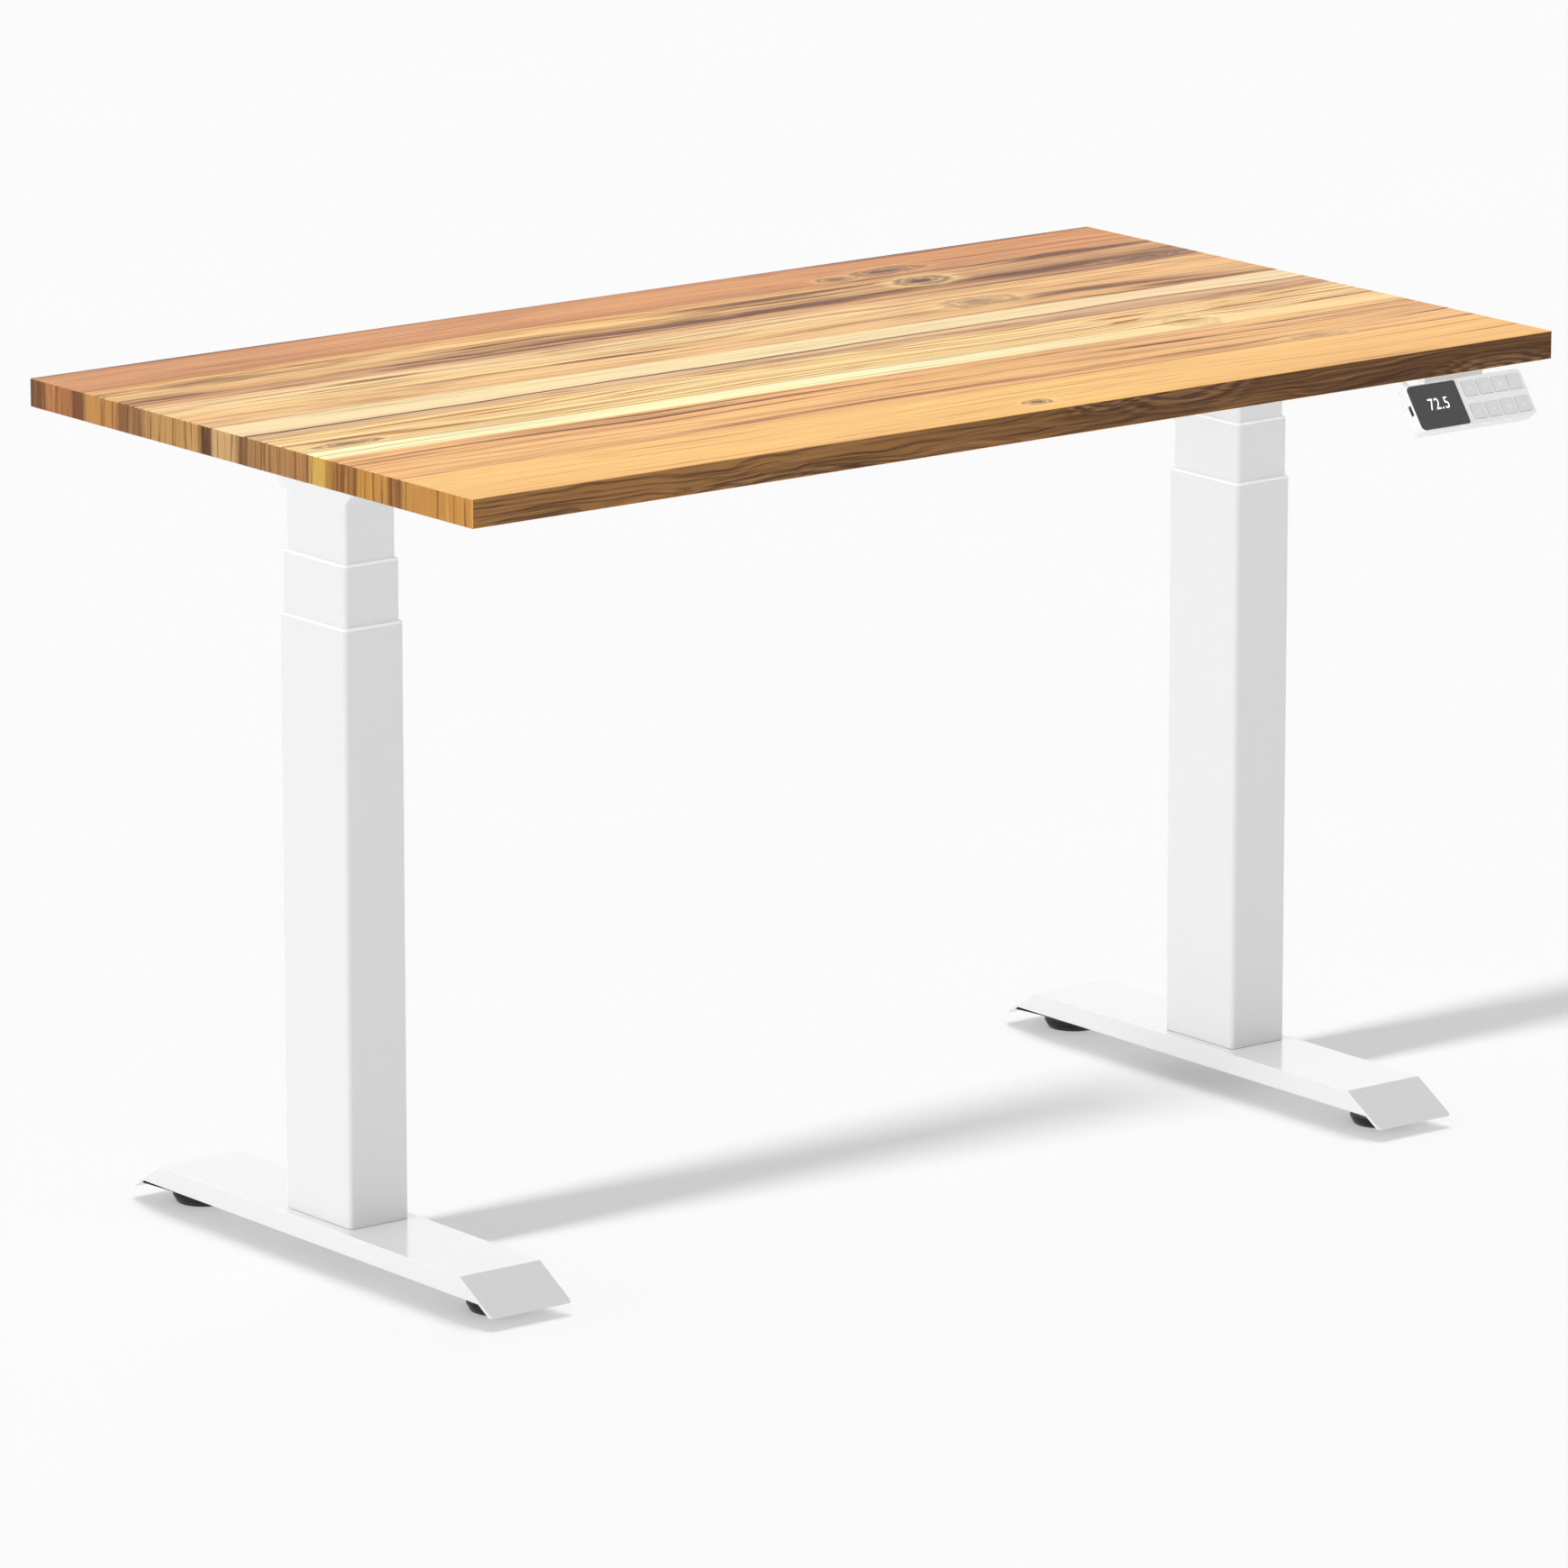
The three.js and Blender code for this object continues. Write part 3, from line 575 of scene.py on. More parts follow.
def wood_edge():
    """The long edges: walnut brown, with streaks along the grain and a few arched figures."""
    g = Graph("Oiled long grain edge")
    u = g.x - top_low.x
    z = g.z - top_low.z
    wander = (g.noise(u / 160, z / 60, detail=2) - 0.5) * 22
    level = z + wander
    arches = (level / 5.2 + g.noise(u / 110, z / 22, 5, detail=1) * 4).apply("FRACT").between(0.3, 0.95)
    streaks = g.noise(u / 150, level / 2.6, 9, detail=4, roughness=0.62)
    fine = g.noise(u / 40, level / 0.6, 3, detail=2)
    tone = g.mix(u.between(200, 1000), linear(164, 118, 70), linear(112, 78, 49))
    tone = g.mix(streaks.between(0.48, 0.7) * 0.85, tone, linear(70, 46, 36))
    tone = g.mix(streaks.between(0.46, 0.3) * 0.5, tone, linear(184, 140, 88))
    tone = g.mix(arches * streaks * 0.7, tone, linear(60, 40, 34))
    for along, high, half_length, half_height in ARCHES:
        near = dent(u, z, along, high, half_length, half_height) + (streaks - 0.5) * 0.9
        arc = hairline(near, 0.3, 0.24) * near.between(1.25, 0.8)
        tone = g.mix(near.between(1.1, 0.6) * 0.4, tone, linear(172, 130, 88))
        tone = g.mix(arc * 0.7, tone, linear(52, 34, 26))
    tone = g.mix(fine.between(0.5, 0.8) * 0.3, tone, linear(66, 44, 32))
    g.bump(streaks * 0.6 + fine * 0.4, 0.06, 0.35)
    return g.finish(Base_Color=tone, Roughness=0.5 + 0.12 * fine, Specular_IOR_Level=0.12)


COAT = powder_coat()
WHITE_PLASTIC = moulded_plastic("White plastic", 0.9, 0.92, 0.36)
KEY_PLASTIC = moulded_plastic("Key plastic", 0.76, 0.79, 0.42)
BLACK_PLASTIC = moulded_plastic("Black plastic", 0.018, 0.026, 0.44, 0.1)
NYLON = moulded_plastic("Black nylon", 0.012, 0.018, 0.28, 0.04)
STEEL = zinc_steel()
SHEATH = sheathing("Lead sheathing", 0.014, 0.028)
PALE_SHEATH = sheathing("Pale lead sheathing", 0.8, 0.84)
BOARD = solder_mask()
GLOWING_GUIDE_PLASTIC = glowing_guide_plastic()
GLASS = display_glass()
DIGITS = lit_ink("Lit digits", (0.9, 0.93, 0.95, 1), 0.75)
# The key marks carry a faint painted glow that keeps them bright; they are no lamp.
GLYPHS = lit_ink("Key marks", (0.93, 0.93, 0.94, 1), 0.05)
FACE_WOOD = wood_face()
END_WOOD = wood_end()
EDGE_WOOD = wood_edge()

# ---------------------------------------------------------------- mesh helpers


def make_piece(name, mesh, materials, body, replaces=(), place=None, sharp=38):
    """A finished piece from a mesh in millimetres; place moves it out of a frame of its own."""
    if place is not None:
        mesh.transform(place)
    bmesh.ops.recalc_face_normals(mesh, faces=mesh.faces)
    mesh.transform(Matrix.Scale(MM, 4))
    data = bpy.data.meshes.new(name)
    mesh.to_mesh(data)
    mesh.free()
    for material in materials:
        data.materials.append(material)
    data.shade_smooth()
    data.set_sharp_from_angle(angle=math.radians(sharp))
    piece = bpy.data.objects.new(name, data)
    scene.collection.objects.link(piece)
    weighted = piece.modifiers.new("Weighted normals", "WEIGHTED_NORMAL")
    weighted.keep_sharp = True
    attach(piece, body)
    if replaces:
        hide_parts(*replaces)
    return piece


def body_of(node):
    return frame["nodes"][node]["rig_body"]


def node_mesh(node):
    """A CAD node's own shape, in millimetres, with its flat faces whole again."""
    mesh = bmesh.new()
    mesh.from_mesh(frame["nodes"][node].data)
    mesh.transform(Matrix.Scale(1 / MM, 4))
    bmesh.ops.remove_doubles(mesh, verts=mesh.verts, dist=0.001)
    bmesh.ops.dissolve_limit(
        mesh, angle_limit=math.radians(0.5), verts=mesh.verts, edges=mesh.edges, delimit={"NORMAL"},
    )
    return mesh


def ease(mesh, width, segments=2, angle=30, where=None):
    """Rounds the sharp edges over, or only those for which where(edge) is true."""
    edges = [
        edge for edge in mesh.edges
        if len(edge.link_faces) == 2 and edge.calc_face_angle() > math.radians(angle)
        and (where is None or where(edge))
    ]
    bmesh.ops.bevel(
        mesh, geom=edges, offset=width, offset_type="OFFSET", segments=segments, profile=0.5,
        affect="EDGES", clamp_overlap=True,
    )
    return mesh


def edge_middle(edge):
    return (edge.verts[0].co + edge.verts[1].co) / 2


def block(mesh, low, high):
    """Adds a box between two corners."""
    low, high = Vector(low), Vector(high)
    made = bmesh.ops.create_cube(mesh, size=1)
    size = high - low
    bmesh.ops.scale(mesh, vec=size, verts=made["verts"])
    bmesh.ops.translate(mesh, vec=(low + high) / 2, verts=made["verts"])
    return made["verts"]


def loft(mesh, rings, caps=(True, True), closed=False):
    """Joins rings of the same number of points with faces, and caps the ends."""
    rows = [[mesh.verts.new(point) for point in ring] for ring in rings]
    if closed:
        rows.append(rows[0])
    count = len(rows[0])
    for low, high in zip(rows, rows[1:]):
        for i in range(count):
            j = (i + 1) % count
            mesh.faces.new((low[i], low[j], high[j], high[i]))
    if caps[0] and not closed:
        mesh.faces.new(rows[0][::-1])
    if caps[1] and not closed:
        mesh.faces.new(rows[-1])


def circle(radius, z, count=48, centre=(0, 0)):
    return [
        Vector((centre[0] + radius * math.cos(turn), centre[1] + radius * math.sin(turn), z))
        for turn in (2 * math.pi * i / count for i in range(count))
    ]


def turned(profile, count=48, centre=(0, 0), closed=False):
    """A turned solid from its (radius, z) profile; a closed profile makes a sleeve."""
    mesh = bmesh.new()
    loft(mesh, [circle(radius, z, count, centre) for radius, z in profile], closed=closed)
    return mesh


def rounded_outline(half_x, half_y, radius, z, steps=6):
    """A rounded rectangle of points at height z, with one corner radius or four."""
    radii = radius if isinstance(radius, tuple) else (radius,) * 4
    points = []
    for quarter, (sx, sy) in enumerate(((1, 1), (-1, 1), (-1, -1), (1, -1))):
        radius = radii[quarter]
        for step in range(steps + 1):
            turn = math.pi / 2 * (quarter + step / steps)
            points.append(Vector((
                sx * (half_x - radius) + radius * math.cos(turn),
                sy * (half_y - radius) + radius * math.sin(turn), z,
            )))
    return points


def moved(points, x, y):
    return [point + Vector((x, y, 0)) for point in points]


def join_meshes(*meshes):
    """One mesh of several separate shells."""
    whole = meshes[0]
    for other in meshes[1:]:
        data = bpy.data.meshes.new("part")
        other.to_mesh(data)
        whole.from_mesh(data)
        bpy.data.meshes.remove(data)
        other.free()
    return whole


def carved(body, *tools):
    """The body with the tools cut out of it."""
    def as_object(mesh):
        data = bpy.data.meshes.new("part")
        bmesh.ops.recalc_face_normals(mesh, faces=mesh.faces)
        mesh.to_mesh(data)
        mesh.free()
        item = bpy.data.objects.new("part", data)
        scene.collection.objects.link(item)
        return item

    base = as_object(body)
    helpers = [as_object(tool) for tool in tools]
    for helper in helpers:
        cut = base.modifiers.new("cut", "BOOLEAN")
        cut.operation = "DIFFERENCE"
        cut.solver = "EXACT"
        cut.object = helper
    bpy.context.view_layer.update()
    result = base.evaluated_get(bpy.context.evaluated_depsgraph_get()).to_mesh()
    mesh = bmesh.new()
    mesh.from_mesh(result)
    for item in [base] + helpers:
        data = item.data
        bpy.data.objects.remove(item)
        bpy.data.meshes.remove(data)
    return mesh


def thread(radius, depth, pitch, starts, z0, z1, count=24, bore=0.0):
    """A screw thread with a flat crest and root, and a plain stub at each end."""
    mesh = bmesh.new()
    lead = pitch * starts
    profile = ((0.0, radius - depth), (0.3, radius - depth), (0.45, radius), (0.85, radius), (1.0, radius - depth))
    steps = int((z1 - z0) / pitch) * 4
    rings = []
    for step in range(steps + 1):
        z = z0 + (z1 - z0) * step / steps
        ring = []
        for i in range(count):
            phase = ((z - z0) / pitch - i / count * lead / pitch) % 1.0
            for (a, ra), (b, rb) in zip(profile, profile[1:]):
                if a <= phase <= b:
                    r = ra + (rb - ra) * (phase - a) / (b - a)
            if step in (0, steps):
                r = radius - depth
            turn = 2 * math.pi * i / count
            ring.append(Vector((r * math.cos(turn), r * math.sin(turn), z)))
        rings.append(ring)
    if bore:
        rings.append(circle(bore, z1, count))
        rings.append(circle(bore, z0, count))
    loft(mesh, rings, closed=bool(bore))
    return mesh


def screw_head(radius, height, socket=0.52):
    """A button head with a six-sided socket, standing on z = 0 and facing +Z."""
    def hexagon(z):
        points = []
        for point in circle(1, z, 24):
            turn = math.atan2(point.y, point.x)
            reach = math.cos(math.pi / 6) / math.cos((turn % (math.pi / 3)) - math.pi / 6)
            points.append(Vector((point.x * reach * radius * socket, point.y * reach * radius * socket, z)))
        return points
    mesh = bmesh.new()
    loft(mesh, [
        circle(radius, 0, 24), circle(radius, 0.25 * height, 24), circle(0.93 * radius, 0.6 * height, 24),
        circle(0.75 * radius, 0.9 * height, 24), circle(0.62 * radius, height, 24), hexagon(0.96 * height),
        hexagon(0.3 * height),
    ])
    return mesh


def screws(name, places, radius, height, body, facing=(0, 0, -1)):
    """A group of screw heads on a flat face that looks the way facing says."""
    turn = Vector((0, 0, 1)).rotation_difference(Vector(facing)).to_matrix().to_4x4()
    heads = []
    for place in places:
        head = screw_head(radius, height)
        head.transform(Matrix.Translation(place) @ turn)
        heads.append(head)
    return make_piece(name, join_meshes(*heads), [STEEL], body)


# ---------------------------------------------------------------- worktop

TOP_EASE = 1.1


def add_worktop():
    mesh = bmesh.new()
    block(mesh, top_low, top_high)
    ease(mesh, TOP_EASE, 3)
    mesh.faces.ensure_lookup_table()
    for face in mesh.faces:
        normal = face.normal
        if abs(normal.x) > 0.8:
            face.material_index = 1
        elif abs(normal.y) > 0.8:
            face.material_index = 2
    board = make_piece(
        "worktop_board", mesh, [FACE_WOOD, END_WOOD, EDGE_WOOD], "top", ["desktop"],
    )
    board.visible_diffuse = False  # so that it tints neither the floor nor the legs
    board.visible_glossy = False


# ---------------------------------------------------------------- feet, glides

FOOT = {"sheet": 2.5, "flat": 440, "wall_bottom": 18.2, "corner": 5, "edge": 2.0}
FOOT_BUSH = {"radius": 8, "bore": 4.6, "bottom": 14, "top": 33.85, "edge": 0.5}
GLIDE_STUD_PITCH = 1.25


def foot_solid(low, high, inset, bottom):
    """The foot's outer form, drawn in by inset: a rounded slab with both ends cut to a slope."""
    centre, half = (low + high) / 2, (high - low) / 2
    top = high.z - inset
    run = half.y - FOOT["flat"] / 2
    drop = high.z - low.z
    sideways = inset * math.hypot(run, drop) / drop
    reach = half.y + (low.z - bottom) * run / drop - sideways
    solid = bmesh.new()
    loft(solid, [
        moved(rounded_outline(half.x - inset, reach, max(FOOT["corner"] - inset, 1), z), centre.x, 0)
        for z in (bottom, top)
    ])
    wedges = []
    for end in (-1, 1):
        wedge = bmesh.new()
        edge = FOOT["flat"] / 2 - sideways + inset * run / drop
        slope = [(reach, bottom), (edge, top), (edge, top + 5), (reach + 30, top + 5), (reach + 30, bottom)]
        loft(wedge, [[Vector((x, end * y, z)) for y, z in slope] for x in (low.x - 5, high.x + 5)])
        wedges.append(wedge)
    return carved(solid, *wedges)


def add_foot(side):
    node = f"{side}_foot"
    low, high = span(node)
    outer = foot_solid(low, high, 0, low.z)
    ease(outer, FOOT["edge"], 4, 20, lambda edge: edge_middle(edge).z > low.z + 0.5)
    hollow = foot_solid(low, high, FOOT["sheet"], low.z - 4)
    under = foot_solid(low - Vector((20, 0, 0)), high + Vector((20, 0, 0)), FOOT["sheet"], low.z - 4)
    ceiling = bmesh.new()
    block(ceiling, (low.x - 40, low.y, FOOT["wall_bottom"]), (high.x + 40, high.y, high.z + 5))
    channel = carved(outer, hollow, carved(under, ceiling))
    bushes = []
    radius, bore, bottom, top, edge = FOOT_BUSH.values()
    for end in ("front", "rear"):
        glide = middle(f"{side}_{end}_glide")
        bushes.append(turned([
            (bore, bottom), (radius - edge, bottom), (radius, bottom + edge), (radius, top), (bore, top),
        ], 40, glide, closed=True))
    make_piece(f"{side}_foot_channel", join_meshes(channel, *bushes), [COAT], body_of(node),
               [node])


def add_glide(side, end):
    node = f"{side}_{end}_glide"
    low, high = span(node)
    centre = middle(node)
    radius = (high.x - low.x) / 2
    pad = turned([
        (radius - 4.0, 0), (radius - 3.2, 0.4), (radius - 1.3, 4.0), (radius - 1.2, 4.6), (radius - 1.6, 4.9),
        (radius - 0.4, 5.5), (radius, 6.1), (radius, 7.4), (radius - 0.7, 8.2), (radius - 4.5, 8.9),
        (9.6, 9.0), (8.2, 9.4), (8.0, 10.0), (8.0, 12.4), (7.4, 13.0),
    ], 64, centre)
    stud = thread(4.0, 0.55, GLIDE_STUD_PITCH, 1, 13.1, high.z, 20)
    stud.transform(Matrix.Translation((centre.x, centre.y, 0)))
    body = body_of(node)
    make_piece(f"{side}_{end}_glide_pad", pad, [NYLON], body, [node])
    make_piece(f"{side}_{end}_glide_stud", stud, [STEEL], body)


def add_foot_screws(side):
    column = middle(f"{side}_column_base_plate")
    under = span(f"{side}_foot")[1].z - 2.5
    places = [(column.x + dx, dy, under) for dx in (-19, 19) for dy in (-34, 34)]
    screws(f"{side}_foot_screws", places, 6.5, 3.6, f"{side}_base")


# ---------------------------------------------------------------- telescopic column

RIM = 1.7


def add_tube(side, stage, corner, wall):
    """A drawn rectangular tube with softened ends."""
    node = f"{side}_{stage}_tube"
    low, high = span(node)
    centre = (low + high) / 2
    half_x, half_y = (high.x - low.x) / 2, (high.y - low.y) / 2

    def ring(inset, z):
        return moved(
            rounded_outline(half_x - inset, half_y - inset, corner - inset, z), centre.x, centre.y,
        )
    mesh = bmesh.new()
    soft = 0.35
    loft(mesh, [
        ring(soft, low.z), ring(0, low.z + soft), ring(0, high.z - soft), ring(soft, high.z),
        ring(wall, high.z), ring(wall, low.z),
    ], closed=True)
    make_piece(f"{side}_{stage}_tube_shell", mesh, [COAT], body_of(node), [node])


def add_guide(side, stage, corner, wall):
    """The plastic bush that caps a tube's rim and guides the next stage."""
    node = f"{side}_{stage}_guide_bush"
    low, high = span(node)
    inner_low, inner_high = span(f"{side}_{'middle' if stage == 'outer' else 'inner'}_tube")
    centre = (low + high) / 2
    half = (high - low) / 2
    bore = (inner_high - inner_low) / 2 + Vector((0.1, 0.1, 0))
    flange = 2.0

    def ring(inset, z):
        return moved(
            rounded_outline(half.x - inset, half.y - inset, corner - min(inset, 1.5), z), centre.x, centre.y,
        )

    def hole(z, grow=0.0):
        return moved(
            rounded_outline(bore.x + grow, bore.y + grow, corner - 0.3 + grow, z), centre.x, centre.y,
        )
    mesh = bmesh.new()
    under = high.z - flange
    loft(mesh, [
        ring(0, under - 0.25), *(
            ring(RIM * (1 - math.cos(turn)), high.z - RIM * (1 - math.sin(turn)))
            for turn in (math.pi / 8 * i for i in range(5))
        ),
        hole(high.z), hole(low.z), ring(wall + 0.3, low.z), ring(wall + 0.3, under - 0.25),
    ], closed=True)
    make_piece(f"{side}_{stage}_guide", mesh, [GLOWING_GUIDE_PLASTIC], body_of(node), [node])


def add_spindle(side):
    """The threaded screws: the upper one with a plain end, the lower one hollow, with a collar."""
    x = middle(f"{side}_upper_lead_screw").x
    place = Matrix.Translation((x, 0, 0))
    low, high = span(f"{side}_upper_lead_screw")
    upper = thread((high.x - low.x) / 2, 1.1, 4, 2, low.z, high.z - 30, 20)
    end = turned([(5.0, high.z - 30), (5.0, high.z - 0.6), (4.4, high.z)], 24)
    make_piece(
        f"{side}_upper_spindle", join_meshes(upper, end), [STEEL], f"{side}_upper_screw",
        [f"{side}_upper_lead_screw"], place,
    )
    low, high = span(f"{side}_lower_lead_screw")
    lower = thread(10, 1.1, 4, 2, low.z, high.z - 6, 24, 7)
    collar = turned([
        (7, high.z - 5.8), (14.4, high.z - 5.8), (15, high.z - 5.2), (15, high.z - 0.6), (14.4, high.z), (7, high.z),
    ], 48, closed=True)
    make_piece(
        f"{side}_lower_spindle", join_meshes(lower, collar), [STEEL], f"{side}_lower_screw",
        [f"{side}_lower_lead_screw"], place,
    )


# ---------------------------------------------------------------- plain CAD pieces with soft edges

EASED = {  # node: (new name, edge radius, material, slot)
    "column_base_plate": ("base_plate", 0.6, STEEL, "bare_steel"),
    "side_bracket": ("bracket_pressing", 0.9, COAT, "white_powder_coat"),
    "gearbox_housing": ("gearbox_case", 1.4, BLACK_PLASTIC, "black_plastic"),
}


def add_eased(node, name, width, material, segments=2):
    mesh = ease(node_mesh(node), width, segments)
    make_piece(name, mesh, [material], body_of(node), [node])


KEPT = {  # CAD nodes that keep their shape and get a better material
    "spindle_pillar": STEEL, "lower_screw_nut": BLACK_PLASTIC, "nut_tube": STEEL,
    "upper_screw_nut": BLACK_PLASTIC,
}


def dress(node, material, width=0.3):
    """Gives a CAD node its material and a soft edge, and leaves its mesh alone."""
    item = frame["nodes"][node]
    item.data.materials.clear()
    item.data.materials.append(material)
    soften = item.modifiers.new("Soft edges", "BEVEL")
    soften.width = width * MM
    soften.segments = 2
    soften.limit_method = "ANGLE"


def add_motor(side):
    """A tubular motor: rolled steel can, black end cap and two crimps; its lead's grommet is made with the leads."""
    node = f"{side}_motor"
    low, high = span(node)
    inboard = SIDES[side]
    radius = (high.y - low.y) / 2
    start = low.x if inboard > 0 else high.x
    length = high.x - low.x
    place = Matrix.Translation((start, 0, (low.z + high.z) / 2)) @ Matrix.Rotation(
        math.radians(90 * inboard), 4, "Y")
    boss = 6.3
    can = turned([
        (9, 0), (9, boss), (radius - 2.4, boss), (radius - 0.8, boss + 0.5), (radius, boss + 1.6), (radius, boss + 8),
        (radius - 0.4, boss + 8.4), (radius - 0.4, boss + 9.6), (radius, boss + 10), (radius, length - 13),
        (radius - 0.6, length - 12.4), (radius - 0.6, length - 11.6),
    ], 64)
    cap = turned([
        (radius - 0.7, length - 11.5), (radius - 1.6, length - 11.5), (radius - 1.4, length - 2.2),
        (radius - 2.2, length - 0.9), (radius - 4, length - 0.3), (12, length - 0.3), (11.4, length),
        (6, length),
    ], 64)
    body = body_of(node)
    make_piece(f"{side}_motor_can", can, [STEEL], body, [node], place)
    make_piece(f"{side}_motor_cap", cap, [BLACK_PLASTIC], body, place=place)


def add_leg(side):
    add_foot(side)
    for end in ("front", "rear"):
        add_glide(side, end)
    add_foot_screws(side)
    add_tube(side, "outer", 4, 1.2)
    add_tube(side, "middle", 3.5, 1.2)
    add_guide(side, "outer", 4, 1.2)
    add_guide(side, "middle", 3.5, 1.2)
    add_spindle(side)
    for node, (name, width, material, slot) in EASED.items():
        add_eased(f"{side}_{node}", f"{side}_{name}", width, material)
    add_eased(f"{side}_inner_tube", f"{side}_inner_tube_shell", 0.3, COAT)
    for node, material in KEPT.items():
        dress(f"{side}_{node}", material)
    add_motor(side)


# ---------------------------------------------------------------- rails, screws under the top

FLANGE_SHEET = 2.5
FLANGE_SCREW = {"from_centre": 34, "along": (-225, -150, -85, 85, 150, 225), "radius": 4.6, "height": 2.6}


def add_under_frame():
    for node in ("front_rail", "rear_rail"):
        add_eased(node, f"{node}_tube", 0.9, COAT, 3)
    for side in SIDES:
        bracket = middle(f"{side}_side_bracket")
        under = span(f"{side}_side_bracket")[1].z - FLANGE_SHEET
        offset = FLANGE_SCREW["from_centre"]
        places = [(bracket.x + dx, y, under) for dx in (-offset, offset) for y in FLANGE_SCREW["along"]]
        screws(f"{side}_bracket_screws", places, FLANGE_SCREW["radius"], FLANGE_SCREW["height"], "top")


# ---------------------------------------------------------------- leads

LEAD_ROUTES = {  # along the underside, in millimetres, as the CAD leads run; clips name points of the route
    "left_motor_lead": {
        "radius": 2.6, "clips": (3,),
        "points": (
            (-339.7, 0, 673.5), (-319.7, 1, 672), (-290, 14, 668), (-262, 46, 668), (-236, 78, 670),
            (-205, 98, 676), (-170, 106, 680), (-135.3, 110, 680),
        ),
    },
    "right_motor_lead": {
        "radius": 2.6, "clips": (3,),
        "points": (
            (339.7, 0, 673.5), (319.7, 1, 672), (290, 14, 668), (262, 46, 668), (236, 78, 670),
            (205, 98, 676), (170, 126, 680), (135.3, 130, 680),
        ),
    },
    "handset_lead": {
        "radius": 2.0, "clips": (5, 7, 9, 12, 14),
        "points": (
            (466, -288.5, 677.3), (466, -279, 673.5), (465, -271, 680), (458, -264, 689.5), (430, -256, 694.5),
            (398, -248, 694.5),
            (350, -215, 695), (318, -150, 695),
            (302, -90, 690), (298, -46, 674), (296, -8, 680), (292, 20, 680), (284, 50, 674),
            (262, 90, 682), (222, 130, 688), (176, 152, 684), (135.3, 156, 680),
        ),
    },
}
PLUG = {"length": 17, "width": 11, "height": 8}
CLIP = {"wall": 1.3, "ear": 4.5, "sheet": 1.6, "half_length": 4}


def tube_along(points, radius):
    """A round lead through all the points."""
    curve = bpy.data.curves.new("route", "CURVE")
    curve.dimensions = "3D"
    curve.bevel_depth = radius
    curve.bevel_resolution = 3
    curve.resolution_u = 10
    curve.use_fill_caps = True
    spline = curve.splines.new("BEZIER")
    spline.bezier_points.add(len(points) - 1)
    for knot, point in zip(spline.bezier_points, points):
        knot.co = point
        knot.handle_left_type = knot.handle_right_type = "AUTO"
    return mesh_of_curve(curve)


def mesh_of_curve(curve):
    item = bpy.data.objects.new("route", curve)
    scene.collection.objects.link(item)
    bpy.context.view_layer.update()
    shape = item.evaluated_get(bpy.context.evaluated_depsgraph_get()).to_mesh()
    mesh = bmesh.new()
    mesh.from_mesh(shape)
    bmesh.ops.remove_doubles(mesh, verts=mesh.verts, dist=1e-4)
    bpy.data.objects.remove(item)
    bpy.data.curves.remove(curve)
    return mesh


def plug(end, outward):
    """The moulded connector on a lead's end, against the control box."""
    mesh = bmesh.new()
    half_width, half_height = PLUG["width"] / 2, PLUG["height"] / 2
    inner, outer = sorted((end.x, end.x + outward * PLUG["length"]))
    block(mesh, (inner, end.y - half_width, end.z - half_height), (outer, end.y + half_width, end.z + half_height))
    ease(mesh, 1.0, 2)
    ribs = []
    for n in range(3):
        rib = bmesh.new()
        x = end.x + outward * (6 + 3.2 * n)
        block(rib, (x - 0.8, end.y - half_width - 0.5, end.z - half_height - 0.5),
              (x + 0.8, end.y + half_width + 0.5, end.z + half_height + 0.5))
        ribs.append(ease(rib, 0.4, 1))
    return join_meshes(mesh, *ribs)


def grommet(start, direction, radius):
    """A ribbed, tapered sleeve where a lead leaves a housing."""
    profile = [(radius + 2.6, -1.5), (radius + 2.6, 1.2)]
    for n in range(4):
        z = 1.6 + 2.4 * n
        profile += [(radius + 1.9 - 0.3 * n, z), (radius + 1.9 - 0.3 * n, z + 1.3), (radius + 1.1 - 0.25 * n, z + 1.7)]
    profile.append((radius + 0.15, 12))
    mesh = turned(profile, 24)
    turn = Vector((0, 0, 1)).rotation_difference(Vector(direction)).to_matrix().to_4x4()
    mesh.transform(Matrix.Translation(start) @ turn)
    return mesh


def clip(place, direction, radius, mount):
    """A saddle that holds a lead against what is above it, at height mount."""
    half = radius + CLIP["wall"]
    ear = half + CLIP["ear"]
    drop = mount - place.z
    outline = [(ear, drop), (ear, drop - CLIP["sheet"]), (half, drop - CLIP["sheet"])]
    outline += [(half * math.cos(turn), -half * math.sin(turn)) for turn in (math.pi * i / 10 for i in range(11))]
    outline += [(-half, drop - CLIP["sheet"]), (-ear, drop - CLIP["sheet"]), (-ear, drop)]
    mesh = bmesh.new()
    loft(mesh, [[Vector((x, z, end)) for x, z in outline] for end in (-CLIP["half_length"], CLIP["half_length"])])
    ahead = Vector((direction.x, direction.y, 0)).normalized()
    aside = Vector((0, 0, 1)).cross(ahead)
    turn = Matrix((aside, Vector((0, 0, 1)), ahead)).transposed().to_4x4()
    mesh.transform(Matrix.Translation(place) @ turn)
    bmesh.ops.recalc_face_normals(mesh, faces=mesh.faces)
    return ease(mesh, 0.35, 1, 50)


